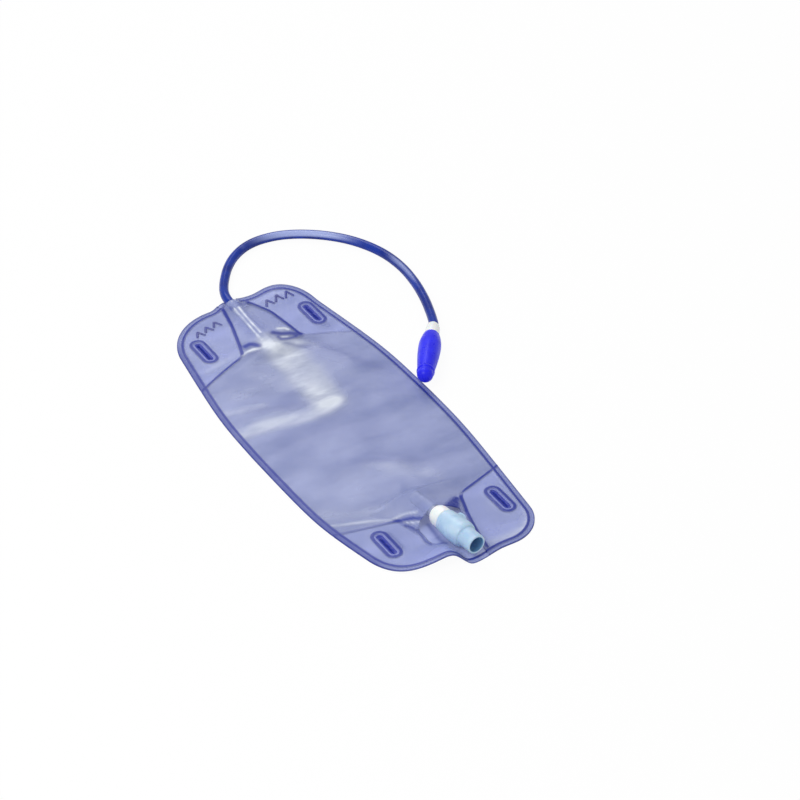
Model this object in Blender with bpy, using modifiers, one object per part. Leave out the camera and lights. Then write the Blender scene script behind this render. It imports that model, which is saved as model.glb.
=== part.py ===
"""Leg-worn urine drainage bag, lying flat with its inlet tube laid round beside it.

Two films are welded round their edge into a pouch. A tube brings liquid in at the top, through a port
between the films and a flattened one-way sleeve. A quarter-turn drain valve hangs out at the bottom.

Frame: metres, +Z up, +Y to the inlet end, +X across the bag. The origin is on the resting surface,
under the middle of the bag.
"""
import math

import bmesh
import bpy
import numpy as np
from mathutils import Matrix, Vector
from mathutils.geometry import delaunay_2d_cdt

MM = 0.001
GAP = 0.3 * MM                      # clearance between pieces that touch or are welded

# Bag outline. A size named FROM_END runs inwards from the corner end of the nearer end edge.
BAG_HALF_WIDTH = 70.5 * MM          # over the straight middle
END_HALF_WIDTH = 58.3 * MM          # where the sides meet the end corners
BAG_HALF_LENGTH = 162.5 * MM        # to the corner end of each end edge
STRAIGHT_HALF = 58.0 * MM           # the sides start to taper past this
TAPER_BLEND = 26.0 * MM             # softness of the start of the taper
CORNER_RADIUS = 30.0 * MM
TAPER_FROM_END = 30.0 * MM          # where the sides reach the end half width
END_BULGE = 4.5 * MM                # lobe in the middle of each end edge
BULGE_HALF_WIDTH = 24.0 * MM
DIE_X = 3.0 * MM                    # shoulders and slots are stamped this far right of the middle
# The bag is cut a little uneven. For each quarter: mm added to the straight half, the end half width and
# the corner radius, then how far in the end edge lies beside its lobe
TOP_RIGHT = (0, 0, 0, 0)
TOP_LEFT = (-12, -1, 14, 1.2)
BOTTOM_LEFT = (26, 0, 10, 2)
BOTTOM_RIGHT = (-18, 2, -2, -1.2)

# Films
FILM = 0.4 * MM
SLEEVE_FILM = 0.2 * MM
POUCH_CROWN = 3.4 * MM              # an almost empty pouch
POUCH_GRID = 15.0 * MM              # spacing of the loose points of the pouch

# Lower left tab, lifted beside the valve
CURL_HEIGHT = 8.5 * MM
CURL_FROM_END = 30.5 * MM           # where it starts to rise
CURL_RUN = 30.0 * MM
CURL_OUTER = 58.5 * MM              # flat again this far out from the middle
CURL_OUTER_RUN = 42.0 * MM
CURL_INNER = 2.5 * MM               # flat again this close to the middle
CURL_INNER_RUN = 13.0 * MM

# Upper right corner, lifted less
CORNER_LIFT = 5.0 * MM
CORNER_FROM_END = 32.0 * MM
CORNER_RUN = 36.0 * MM
CORNER_INNER = 11.0 * MM            # flat this close to the middle
CORNER_INNER_RUN = 32.0 * MM

# Both films rise under the outlet port
PORT_LIFT = 1.7 * MM
PORT_LIFT_SPREAD = 11.0 * MM        # to each side
PORT_LIFT_RUN = 12.0 * MM
PORT_LIFT_LEAD = 11.4 * MM          # past the port's inner end

# The front film is tented over both ports
TENT_LEAD = 13.0 * MM               # past a port's inner end
TENT_RUN = 10.0 * MM
TENT_EASE = 0.15 * MM               # more room over the outlet port, which lies askew
TENT_STOP = 1.1 * MM                # how far past the outlet port the tent goes on

# Welds
WELD_INSET = 4.6 * MM               # perimeter weld bead, in from the edge
BEAD_HALF = 1.1 * MM
BEAD_HEIGHT = 0.25 * MM
BACK_BEAD_HEIGHT = 0.15 * MM
SHOULDER_FROM_END = 53.0 * MM       # shoulder weld on the centre line, at both ends
SHOULDER_DROP_TOP = 23.0 * MM
SHOULDER_DROP_BOTTOM = 14.5 * MM
SHOULDER_CURVE_TOP = 1.35           # power of the drop: 1 is straight
SHOULDER_CURVE_BOTTOM = 1.2
SHOULDER_SKEW_BOTTOM = 0.05         # the lower shoulders rise this much to the right
SHOULDER_REACH = 61.0 * MM
SHOULDER_START = 7.0 * MM           # each half starts this far from the centre line
SHOULDER_OVERRUN = 5.0 * MM
# Channel welds: mm from the end, then where the left and the right weld run
CHANNEL_TOP = [(58.5, -20, 26.8), (45, -15.6, 25.4), (24.5, -9.7, 22.6), (4.5, -5.7, 13.8)]
CHANNEL_BOTTOM = [(57.5, -22.8, 26.5), (47.5, -19.8, 23.4), (41.5, -18.4, 21.3), (34, -18, 19.2),
                  (27, -18.6, 17.4), (20.3, -17, 15.9), (15, -13.8, 14.9), (2.5, -9, 13)]
CHANNEL_FLARE = 1.2                 # how fast the tents widen inside the pouch

# Front film round the valve
OPENING_INSET = 2.6 * MM            # its edge, in from the channel welds
OPENING_CLEAR = 1.6 * MM            # behind the valve's collar
OPENING_CORNER = 3.0 * MM           # its upper corners are taken off
OPENING_FLAT = 6.0 * MM             # half width of its straight upper edge

# Strap slots
SLOT_X = 44.0 * MM
SLOT_FROM_END = 40.3 * MM
SLOT_LENGTH = 22.5 * MM
SLOT_WIDTH = 5.0 * MM               # window in the front film
SLIT_WIDTH = 1.6 * MM               # slit in the back film
LAND_WIDTH = 2.6 * MM               # raised land round the window
LAND_HEIGHT = 0.3 * MM
LAND_EDGE = 0.8 * MM                # width of the land's sloping edge
SLOT_RING = 7.0 * MM                # weld ring round the land, from the slot's centre line

# Inlet
TUBE_RADIUS = 3.4 * MM
TUBE_BORE = 2.3 * MM
TUBE_LEAD = 3.0 * MM                # straight stretch at each end of the free tube
TUBE_FLOOR_GAP = 0.1 * MM
INLET_X = 1.0 * MM
PORT_INNER_FROM_END = 65.5 * MM
PORT_OUTER_FROM_END = 4.5 * MM
NOTCH_DEPTH = 10.5 * MM             # notch of the front film where the tube leaves
NOTCH_HALF_WIDTH = 8.0 * MM
NOTCH_EDGE = 0.1 * MM               # its corners, in from the end edge

# One-way sleeve
SLEEVE_X = 5.0 * MM
SLEEVE_HALF_WIDTH = 12.0 * MM
SLEEVE_FROM_END = 58.5 * MM
SLEEVE_LENGTH = 82.0 * MM
SLEEVE_NECK = 8.0 * MM              # half width of the sleeve's rise over the port
SLEEVE_LAG = 2.0 * MM               # the sleeve rises this much later than the front film

# Connector and cap at the far end of the tube
CAP_REAR = (100.4 * MM, 47.3 * MM)  # the cap's rear end, seen from above
CAP_HEADING = math.radians(-127.4)
CAP_TILT = math.radians(4.0)        # nose up, so it clears the bag as it is pulled off
CAP_LENGTH = 55.0 * MM
CAP_MAX_RADIUS = 8.0 * MM
CAP_REAR_RADIUS = 5.7 * MM
CAP_NECK_RADIUS = 6.0 * MM
CAP_WIDEST = 15.0 * MM              # from the rear end
CAP_REAR_BAND = 1.2 * MM
CAP_EDGE = 0.3 * MM
CAP_TIP = 5.2 * MM                  # length of the round tip
CAP_RING = 9.0 * MM                 # grip ring, from the tip
CAP_RING_HALF = 1.7 * MM
CAP_RING_RISE = 0.35 * MM
CAP_SPARE = 1.0 * MM                # room in the cap past the connector's tip
CAP_FLOOR_GAP = 0.1 * MM
CONNECTOR_COLLAR = 12.6 * MM
CONNECTOR_COLLAR_RADIUS = 5.1 * MM
CONNECTOR_SHOULDER = 6.0 * MM       # length of the collar's round shoulder
CONNECTOR_LIP = 0.5 * MM            # the collar's rear end, out from the tube
CONNECTOR_STEM = 33.0 * MM
CONNECTOR_STEPS = 4
STEM_ROOT_RADIUS = 4.4 * MM
STEM_TIP_RADIUS = 3.2 * MM
STEP_NOTCH = 0.3 * MM               # drop behind each step
CONNECTOR_BORE = 2.0 * MM

# Drain valve, on its own axis: distances run outwards from the middle of the white collar
VALVE_X = -1.1 * MM
VALVE_FROM_END = 38.0 * MM
VALVE_SWING = math.radians(5.0)     # the soft port lets it lie a little askew
VALVE_TILT = math.radians(3.0)      # the wide sleeve holds it nose up
SLEEVE_RADIUS = 9.0 * MM
SLEEVE_WIDEST = 18.0 * MM           # start of the widest ring, which rests on the film
NOZZLE_RADIUS = 6.7 * MM
NOZZLE_WALL = 1.4 * MM
NOZZLE_START = 27.5 * MM
NOZZLE_END = 38.5 * MM
NOZZLE_DRAFT = 0.3 * MM             # how much wider it is at its root
NOZZLE_EDGE = 0.4 * MM
SLEEVE_BAND = 4.5 * MM              # length of the widest ring
SLEEVE_TAPER = 1.1 * MM             # how much slimmer it is beside the collar
COLLAR_RADIUS = 7.4 * MM
COLLAR_BACK = 5.3 * MM
COLLAR_FRONT = 4.5 * MM
COLLAR_EDGE = 0.5 * MM
COLLAR_LIP = 0.6 * MM               # the dome meets the port this far inside its wall
CORE_RADIUS = 5.3 * MM
CORE_BORE = 3.5 * MM
CORE_END = 25.0 * MM
WEB = 2.0 * MM
SPIGOT_RADIUS = 3.2 * MM
SPIGOT_BORE = 2.0 * MM
SPIGOT_LENGTH = 12.0 * MM
SPIGOT_EDGE = 0.4 * MM
BORE_STEP = 1.0 * MM                # half length of the step between the two bores
OUTLET_WALL = 1.25 * MM
OUTLET_LENGTH = 21.5 * MM
SNAP_RISE = 0.45 * MM
SNAP_PLACE = 1.1 * MM               # from the sleeve's end
SNAP_HALF = 0.6 * MM
SNAP_CREST = 0.2 * MM               # half length of its flat top
SNAP_EASE = 0.1 * MM                # the sleeve's groove is this much longer at each end
RING_SECTION = 0.42 * MM
RING_GROOVE = 1.8 * MM
RING_DEPTH = 0.85 * MM
RING_PLACES = (10.0 * MM, 19.0 * MM)
FLOW_HOLE = 1.3 * MM
FLOW_OFFSET = 2.1 * MM
WING_REACH = 12.4 * MM
WING_THICK = 3.0 * MM
WING_START = 5.6 * MM
WING_END = 20.0 * MM
WING_CORNER = 1.8 * MM
WING_SHORT = 5.5 * MM               # how much shorter it is at its outer edge
WING_ROOT = 1.4 * MM                # its root, out from the snap groove, inside the sleeve's wall

SIDES = 24                          # facets of a turned piece

SLOT_Y = BAG_HALF_LENGTH - SLOT_FROM_END
SHOULDER_Y = BAG_HALF_LENGTH - SHOULDER_FROM_END
CURL_START = BAG_HALF_LENGTH - CURL_FROM_END
CORNER_START = BAG_HALF_LENGTH - CORNER_FROM_END
PORT_INNER_Y = BAG_HALF_LENGTH - PORT_INNER_FROM_END
PORT_OUTER_Y = BAG_HALF_LENGTH - PORT_OUTER_FROM_END
SLEEVE_TOP = BAG_HALF_LENGTH - SLEEVE_FROM_END
VALVE_Y = VALVE_FROM_END - BAG_HALF_LENGTH
LAND_TOP = SLOT_WIDTH / 2.0 + LAND_WIDTH    # edge of the land's top, from the slot's centre line
LAND_FOOT = LAND_TOP + LAND_EDGE
FRONT_BASE = FILM + GAP             # underside of the front film where it lies flat
SLEEVE_FRONT_BASE = FRONT_BASE + SLEEVE_FILM + GAP
INLET_Z = SLEEVE_FRONT_BASE + TUBE_RADIUS
OUTLET_RADIUS = SPIGOT_RADIUS + GAP + OUTLET_WALL
VALVE_Z = FILM + GAP + SLEEVE_RADIUS * math.cos(VALVE_TILT) - SLEEVE_WIDEST * math.sin(VALVE_TILT)
OUTLET_OUTER_Y = VALVE_Y + COLLAR_BACK + GAP
OUTLET_INNER_Y = OUTLET_OUTER_Y + OUTLET_LENGTH


# Scene

def clear_scene():
    for item in list(bpy.data.objects):
        bpy.data.objects.remove(item, do_unlink=True)


def collection(name):
    group = bpy.data.collections.new(name)
    bpy.context.scene.collection.children.link(group)
    return group


def material(name, colour, roughness, alpha=1.0):
    mat = bpy.data.materials.new(name)
    mat.use_nodes = True
    shader = mat.node_tree.nodes["Principled BSDF"]
    shader.inputs["Base Color"].default_value = (*colour, 1.0)
    shader.inputs["Roughness"].default_value = roughness
    shader.inputs["Alpha"].default_value = alpha
    return mat


def add_object(name, mesh, group, mat):
    obj = bpy.data.objects.new(name, mesh)
    mesh.materials.append(mat)
    group.objects.link(obj)
    return obj


def add_boolean(obj, cutter, operation):
    mod = obj.modifiers.new(operation.title(), "BOOLEAN")
    mod.object = cutter
    mod.operation = operation
    mod.solver = "EXACT"


def hide_cutter(obj):
    obj.hide_render = True
    obj.display_type = "WIRE"


# Plane curves of the bag

def smooth(t):
    t = np.clip(t, 0.0, 1.0)
    return t * t * (3.0 - 2.0 * t)


def ramp(t):
    """Zero before the taper starts, then a straight rise, with a soft start."""
    return 0.5 * (t + np.sqrt(t * t + TAPER_BLEND ** 2))


def side_x(y, quarter):
    """Half width of the bag at height y: straight in the middle, then a straight taper."""
    straight = STRAIGHT_HALF + quarter[0] * MM
    end_half_width = END_HALF_WIDTH + quarter[1] * MM
    start = ramp(-straight)
    end = ramp(BAG_HALF_LENGTH - TAPER_FROM_END - straight)
    share = (ramp(np.abs(y) - straight) - start) / (end - start)
    return BAG_HALF_WIDTH - (BAG_HALF_WIDTH - end_half_width) * share


def half_width(x, y):
    """Half width of the bag on the side and at the end where a point lies."""
    top = np.where(x > 0.0, side_x(y, TOP_RIGHT), side_x(y, TOP_LEFT))
    bottom = np.where(x > 0.0, side_x(y, BOTTOM_RIGHT), side_x(y, BOTTOM_LEFT))
    return np.where(y > 0.0, top, bottom)


def quarter_outline(quarter):
    """Points from the middle of the right side, round a corner, to the middle of the end edge."""
    radius = CORNER_RADIUS + quarter[2] * MM
    level = BAG_HALF_LENGTH - quarter[3] * MM
    centre_y = level - radius
    slope = (side_x(centre_y - MM, quarter) - side_x(centre_y + MM, quarter)) / (2.0 * MM)
    first = math.atan(slope)
    centre_x = side_x(centre_y + radius * math.sin(first), quarter) - radius * math.cos(first)
    ys = np.linspace(0.0, centre_y + radius * math.sin(first), 8)[:-1]
    side = np.stack([side_x(ys, quarter), ys], axis=1)
    turn = np.linspace(first, math.pi / 2.0, 7)
    corner = (centre_x, centre_y) + radius * np.stack([np.cos(turn), np.sin(turn)], axis=1)
    xs = np.linspace(centre_x, 0.0, 8)[1:]
    lobe = BAG_HALF_LENGTH + END_BULGE - level
    end = np.stack([xs, level + lobe * (1.0 - smooth(xs / BULGE_HALF_WIDTH))], axis=1)
    return np.concatenate([side, corner, end])


def bag_outline():
    """The whole outline, anticlockwise, from the middle of the right side."""
    return np.concatenate([
        quarter_outline(TOP_RIGHT),
        (quarter_outline(TOP_LEFT) * (-1, 1))[-2::-1],
        (quarter_outline(BOTTOM_LEFT) * (-1, -1))[1:],
        (quarter_outline(BOTTOM_RIGHT) * (1, -1))[-2:0:-1]])


def offset_loop(loop, inset):
    """The closed loop moved inwards, each point along the mean normal of its two edges."""
    along = np.roll(loop, -1, axis=0) - np.roll(loop, 1, axis=0)
    inward = np.stack([-along[:, 1], along[:, 0]], axis=1)
    return loop + inset * inward / np.linalg.norm(inward, axis=1, keepdims=True)


def inside(points, loop):
    """Even-odd test of each point against a closed loop."""
    x, y = points[:, :1], points[:, 1:]
    x0, y0 = loop[:, 0], loop[:, 1]
    x1, y1 = np.roll(x0, -1), np.roll(y0, -1)
    rise = np.where(y1 == y0, 1e-12, y1 - y0)
    crossing = ((y0 > y) != (y1 > y)) & (x < x0 + (y - y0) * (x1 - x0) / rise)
    return crossing.sum(axis=1) % 2 == 1


def distance(points, line, closed=False):
    """Least distance from each point to a line of straight pieces."""
    a = line if closed else line[:-1]
    b = np.roll(line, -1, axis=0) if closed else line[1:]
    step = b - a
    rel = points[:, None, :] - a[None]
    share = np.clip((rel * step).sum(-1) / np.maximum((step * step).sum(-1), 1e-18), 0.0, 1.0)
    return np.linalg.norm(rel - share[..., None] * step, axis=-1).min(axis=1)


def shoulder_y(x, drop, power):
    return SHOULDER_Y - drop * (np.abs(x - DIE_X) / SHOULDER_REACH) ** power


def top_shoulder(x):
    return shoulder_y(x, SHOULDER_DROP_TOP, SHOULDER_CURVE_TOP)


def bottom_shoulder(x):
    level = -shoulder_y(x, SHOULDER_DROP_BOTTOM, SHOULDER_CURVE_BOTTOM)
    return level + SHOULDER_SKEW_BOTTOM * (x - DIE_X)


def channel_sides(y):
    """Where the left and the right channel weld run. They widen into the pouch."""
    from_end = BAG_HALF_LENGTH - np.abs(y)
    ends = []
    for table in (CHANNEL_TOP, CHANNEL_BOTTOM):
        place, left, right = np.array(table).T * MM
        flare = CHANNEL_FLARE * np.maximum(from_end - place[0], 0.0)
        ends.append((np.interp(-from_end, -place, left) - flare, np.interp(-from_end, -place, right) + flare))
    return [np.where(y > 0.0, top, bottom) for top, bottom in zip(*ends)]


def valve_x(y):
    return VALVE_X + (VALVE_Y - y) * math.tan(VALVE_SWING)


def valve_z(y):
    return VALVE_Z + (VALVE_Y - y) * math.tan(VALVE_TILT)


def weld_lines():
    """Centre lines of the inner welds: four shoulders and four channel sides."""
    lines = []
    for sign in (1.0, -1.0):
        reach = np.linspace(SHOULDER_START, SHOULDER_REACH + SHOULDER_OVERRUN, 9)
        x = DIE_X + sign * reach
        lines.append(np.stack([x, top_shoulder(x)], axis=1))
        lines.append(np.stack([x, bottom_shoulder(x)], axis=1))
    for table, end in ((CHANNEL_TOP, 1.0), (CHANNEL_BOTTOM, -1.0)):
        place, *sides = np.array(table).T * MM
        lines += [np.stack([side, end * (BAG_HALF_LENGTH - place)], axis=1) for side in sides]
    return lines


def sideways(line, amount):
    along = np.gradient(line, axis=0)
    normal = np.stack([-along[:, 1], along[:, 0]], axis=1)
    return line + amount * normal / np.linalg.norm(normal, axis=1, keepdims=True)


def slot_centres():
    return [(DIE_X + sx * SLOT_X, sy * SLOT_Y) for sx in (-1, 1) for sy in (-1, 1)]


def slot_axis(centre):
    half = (SLOT_LENGTH - SLOT_WIDTH) / 2.0
    return np.array([[centre[0], centre[1] - half], [centre[0], centre[1] + half]])


def slot_loop(centre, radius):
    """A stadium round the slot's centre line, its long axis along Y."""
    half = (SLOT_LENGTH - SLOT_WIDTH) / 2.0
    turn = np.linspace(0.0, math.pi, 6)
    cap = np.stack([radius * np.cos(turn), half + radius * np.sin(turn)], axis=1)
    return np.concatenate([cap, -cap]) + centre


# Heights of the films

def lift(x, y):
    """How far both films leave the surface: the tab, the corner and the rise under the port."""
    along = smooth((-CURL_START - y) / CURL_RUN)
    across = smooth((x + CURL_OUTER) / CURL_OUTER_RUN) * smooth((-CURL_INNER - x) / CURL_INNER_RUN)
    corner = smooth((y - CORNER_START) / CORNER_RUN) * smooth((x - CORNER_INNER) / CORNER_INNER_RUN)
    port = np.exp(-((x - valve_x(y)) / PORT_LIFT_SPREAD) ** 2)
    start = smooth((y - OUTLET_OUTER_Y) / PORT_LIFT_RUN)
    end = smooth((OUTLET_INNER_Y + PORT_LIFT_LEAD - y) / PORT_LIFT_RUN)
    return CURL_HEIGHT * along * across + CORNER_LIFT * corner + PORT_LIFT * port * start * end


def relief(x, y, rise):
    """Raised beads on the weld lines and rings, and the lands round the slots."""
    points = np.stack([x, y], axis=1)
    edge = distance(points, offset_loop(bag_outline(), WELD_INSET), closed=True)
    for line in weld_lines():
        edge = np.minimum(edge, distance(points, line))
    height = rise * np.clip(1.0 - edge / BEAD_HALF, 0.0, 1.0)
    for centre in slot_centres():
        off = distance(points, slot_axis(centre))
        bead = rise * np.clip(1.0 - np.abs(off - SLOT_RING) / BEAD_HALF, 0.0, 1.0)
        land = LAND_HEIGHT * np.clip((LAND_FOOT - off) / LAND_EDGE, 0.0, 1.0)
        height = np.maximum(height, np.maximum(bead, land))
    return height


def crown(x, y):
    """The pouch's low dome: full in the middle, nothing at the welds."""
    across = np.clip(1.0 - (x / (half_width(x, y) - WELD_INSET)) ** 2, 0.0, 1.0)
    reach = np.where(y > 0.0, top_shoulder(x), -bottom_shoulder(x))
    along = np.clip(1.0 - (y / reach) ** 2, 0.0, 1.0)
    return POUCH_CROWN * across ** 0.75 * along ** 0.75


def tent(x, left, right, centre, radius):
    """Film drawn over a round port: an arc over the top, then straight down to a weld on each side."""
    width = np.where(x < 0.0, left, right)
    reach = np.sqrt(width ** 2 + centre ** 2)
    slope = np.arctan2(centre, width) + np.arcsin(np.clip(radius / reach, 0.0, 0.99))
    straight = (width - np.abs(x)) * np.tan(slope)
    arc = centre + np.sqrt(np.maximum(radius ** 2 - x ** 2, 0.0))
    over = np.abs(x) < radius * np.sin(slope)
    return np.where(over, arc, np.maximum(straight, 0.0))


def front_height(x, y):
    """Underside of the front film."""
    raised = lift(x, y)
    left, right = channel_sides(y)
    clear = TUBE_RADIUS + 2.0 * GAP + SLEEVE_FILM
    inlet = tent(x - INLET_X, INLET_X - left, right - INLET_X, INLET_Z - FRONT_BASE, clear)
    inlet = inlet * smooth((y - PORT_INNER_Y + TENT_LEAD) / TENT_RUN)
    middle = valve_x(y)
    centre = valve_z(y) - FRONT_BASE - raised
    outlet_clear = OUTLET_RADIUS + GAP + TENT_EASE
    outlet = tent(x - middle, middle - left, right - middle, centre, outlet_clear)
    outlet = outlet * smooth((OUTLET_INNER_Y + TENT_LEAD - y) / TENT_RUN) * (y > OUTLET_OUTER_Y - TENT_STOP)
    dome = np.maximum(crown(x, y), np.maximum(inlet, outlet))
    return FRONT_BASE + raised + dome + relief(x, y, BEAD_HEIGHT)


def back_height(x, y):
    """Underside of the back film: flat on the surface, with shallow weld grooves."""
    return lift(x, y) + relief(x, y, BACK_BEAD_HEIGHT)


def sleeve_back_height(x, y):
    """Underside of the sleeve's back film: flat on the bag's back film."""
    return np.full(len(x), FRONT_BASE)


def sleeve_front_height(x, y):
    """Underside of the sleeve's front film: flat, and tented over the end of the port."""
    rise = tent(x - INLET_X, SLEEVE_NECK, SLEEVE_NECK, INLET_Z - SLEEVE_FRONT_BASE, TUBE_RADIUS + GAP)
    return SLEEVE_FRONT_BASE + rise * smooth((y - PORT_INNER_Y + TENT_LEAD - SLEEVE_LAG) / TENT_RUN)


# Films as meshes

def film_mesh(outline, lines, loops, extra):
    """Triangles in the plane that follow the outline and each crease."""
    points, edges = [], []
    creases = [(loop, True) for loop in (outline, *loops)] + [(line, False) for line in lines]
    for line, closed in creases:
        first, count = len(points), len(line)
        points.extend(line)
        edges.extend((first + i, first + (i + 1) % count) for i in range(count if closed else count - 1))
    points.extend(extra)
    flat = [Vector((p[0] / MM, p[1] / MM)) for p in points]
    verts, _, faces, _, _, _ = delaunay_2d_cdt(flat, edges, [], 0, 0.01)
    plane = np.array([(v.x, v.y) for v in verts]) * MM
    faces = np.array(faces)
    middle = plane[faces].mean(axis=1)
    faces = faces[inside(middle, outline)]
    return plane, faces


def remove_holes(plane, faces, radius):
    """Takes out the triangles inside each slot."""
    middle = plane[faces].mean(axis=1)
    keep = np.ones(len(faces), bool)
    for centre in slot_centres():
        keep &= ~inside(middle, slot_loop(centre, radius))
    return faces[keep]


def film_object(name, plane, faces, height, thickness, group, mat):
    used, index = np.unique(faces, return_inverse=True)
    plane, faces = plane[used], index.reshape(faces.shape)
    z = height(plane[:, 0], plane[:, 1])
    mesh = bpy.data.meshes.new(name)
    mesh.from_pydata(np.column_stack([plane, z]).tolist(), [], faces.tolist())
    mesh.update()
    obj = add_object(name, mesh, group, mat)
    shell = obj.modifiers.new("Thickness", "SOLIDIFY")
    shell.thickness = thickness
    shell.offset = 1.0
    return obj


def crease_lines(outline):
    """Bead edges along every weld, each as three lines."""
    loops = [offset_loop(outline, WELD_INSET + off) for off in (-BEAD_HALF, 0.0, BEAD_HALF)]
    lines = [sideways(line, off) for line in weld_lines() for off in (-BEAD_HALF, 0.0, BEAD_HALF)]
    return loops, lines


def pouch_points():
    """A loose triangular grid over the pouch, in rows that are half a step apart by turns."""
    count_y = int(SHOULDER_Y / POUCH_GRID)
    count_x = int(BAG_HALF_WIDTH / POUCH_GRID)
    rows = []
    for i in range(-count_y, count_y + 1):
        xs = (np.arange(-count_x, count_x + 1) + (i % 2) / 2.0) * POUCH_GRID
        rows.append(np.stack([xs, np.full(len(xs), i * POUCH_GRID)], axis=1))
    points = np.concatenate(rows)
    return points[crown(points[:, 0], points[:, 1]) > 0.0]


def grid(across, down):
    return np.stack(np.meshgrid(across, down), axis=-1).reshape(-1, 2)


def lifted_points():
    """Loose points where both films leave the surface: the tab, the corner and the rise at the port."""
    across = np.linspace(-CURL_OUTER + 0.3 * CURL_OUTER_RUN, -CURL_INNER - 0.4 * CURL_INNER_RUN, 7)
    curl = grid(across, -CURL_START - CURL_RUN * np.array([0.2, 0.43, 0.67]))
    corner = grid(CORNER_INNER + CORNER_INNER_RUN * np.array([0.15, 0.4, 0.65]),
                  CORNER_START + CORNER_RUN * np.array([0.25, 0.5, 0.75]))
    rows = np.linspace(OUTLET_OUTER_Y + 0.6 * PORT_LIFT_RUN, OUTLET_INNER_Y + 0.5 * PORT_LIFT_LEAD, 3)
    port = [(valve_x(y) + share * PORT_LIFT_SPREAD, y) for y in rows for share in (-1.6, -0.8, 0.8, 1.6)]
    return np.concatenate([curl, corner, port])


def fold_lines():
    """Where the tab and the corner start to rise, so that the film is flat up to there."""
    beside_valve = np.linspace(-CURL_START, -BAG_HALF_LENGTH, 5)
    return [np.array([(-CURL_OUTER, -CURL_START), (-CURL_INNER, -CURL_START)]),
            np.stack([np.full(5, -CURL_INNER), beside_valve], axis=1),
            np.array([(CORNER_INNER, CORNER_START), (END_HALF_WIDTH - WELD_INSET, CORNER_START)])]


def tent_lines(centre_x, radius, start, end, count):
    """Lines along a port that the tented film needs, to be round over it."""
    ys = np.linspace(start, end, count)
    shares = (-1.0, -0.7, -0.35, 0.0, 0.35, 0.7, 1.0)
    return [np.stack([centre_x(ys) + share * radius, ys], axis=1) for share in shares]


def inlet_x(y):
    return np.full(len(y), INLET_X)


def notch(outline):
    """The outline with a round-cornered notch in the top edge, where the tube leaves."""
    turn = np.linspace(0.0, math.pi, 7)
    top = BAG_HALF_LENGTH + END_BULGE
    cut = np.stack([INLET_X + NOTCH_HALF_WIDTH * np.cos(turn), top - NOTCH_DEPTH * np.sin(turn)], axis=1)
    cut[0, 1] = cut[-1, 1] = top - NOTCH_EDGE
    keep = (np.abs(outline[:, 0] - INLET_X) > NOTCH_HALF_WIDTH) | (outline[:, 1] < 0.0)
    right = keep & (outline[:, 1] > 0) & (outline[:, 0] > INLET_X)
    first = int(np.argmin(np.where(right, outline[:, 0], 1.0)))
    ring = np.roll(outline, -(first + 1), axis=0)[np.roll(keep, -(first + 1))]
    return np.concatenate([cut, ring])


def opening_edge():
    """Edge of the front film round the drain valve, from the bottom left to the bottom right."""
    place, *sides = np.array(CHANNEL_BOTTOM[2:]).T * MM
    top = VALVE_Y + COLLAR_BACK + OPENING_CLEAR
    halves = []
    for side, inwards in zip(sides, (1.0, -1.0)):
        edge = side[::-1] + inwards * OPENING_INSET
        x = np.array([edge[0], *edge, edge[-1] + inwards * OPENING_CORNER, DIE_X - inwards * OPENING_FLAT])
        y = np.array([-BAG_HALF_LENGTH - 0.9 * END_BULGE, *(place[::-1] - BAG_HALF_LENGTH),
                      top - 0.2 * OPENING_CORNER, top])
        halves.append(np.stack([x, y], axis=1))
    return np.concatenate([halves[0], halves[1][::-1]])


def valve_opening(outline):
    """The outline with the front film cut away between the channel welds."""
    edge = opening_edge()
    beside = (outline[:, 0] < edge[0, 0]) | (outline[:, 0] > edge[-1, 0])
    keep = beside | (outline[:, 1] > 0.0)
    right = keep & (outline[:, 1] < 0.0) & (outline[:, 0] > 0.0)
    start = int(np.argmin(np.where(right, outline[:, 0], 1.0)))
    ring = np.roll(outline, -start, axis=0)[np.roll(keep, -start)]
    return np.concatenate([ring, edge])


def rest_on(points, lines, loops, spacing):
    """Keeps the loose points that are clear of every crease."""
    for line in lines:
        points = points[distance(points, line) > spacing]
    for loop in loops:
        points = points[distance(points, loop, closed=True) > spacing]
    return points


def make_films(group, clear_film):
    outline = bag_outline()
    beads, welds = crease_lines(outline)
    rings = (LAND_TOP, LAND_FOOT, SLOT_RING, SLOT_RING + BEAD_HALF)
    lands = [slot_loop(c, r) for c in slot_centres() for r in (SLOT_WIDTH / 2.0, *rings)]
    slits = [slot_loop(c, r) for c in slot_centres() for r in (SLIT_WIDTH / 2.0, *rings)]

    inlet_reach = TUBE_RADIUS + 2.0 * GAP + SLEEVE_FILM
    over_inlet = tent_lines(inlet_x, inlet_reach, PORT_INNER_Y - TENT_LEAD, PORT_OUTER_Y, 9)
    outlet_reach = OUTLET_RADIUS + 1.5 * GAP
    over_outlet = tent_lines(valve_x, outlet_reach, OUTLET_OUTER_Y + MM, OUTLET_INNER_Y + TENT_LEAD, 7)
    lines = welds + fold_lines() + over_inlet + over_outlet
    apart = 3.0 * BEAD_HALF
    raised = rest_on(lifted_points(), lines, beads + lands, apart)
    loose = rest_on(pouch_points(), lines, beads + lands, apart)
    extra = np.concatenate([raised, loose])
    shape = notch(valve_opening(outline))
    plane, faces = film_mesh(shape, lines, beads + lands, extra)
    faces = remove_holes(plane, faces, SLOT_WIDTH / 2.0)
    film_object("front_film", plane, faces, front_height, FILM, group, clear_film)

    lines = welds + fold_lines() + over_outlet + [opening_edge()]
    plane, faces = film_mesh(outline, lines, beads + slits, extra)
    faces = remove_holes(plane, faces, SLIT_WIDTH / 2.0)
    film_object("back_film", plane, faces, back_height, FILM, group, clear_film)


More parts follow.
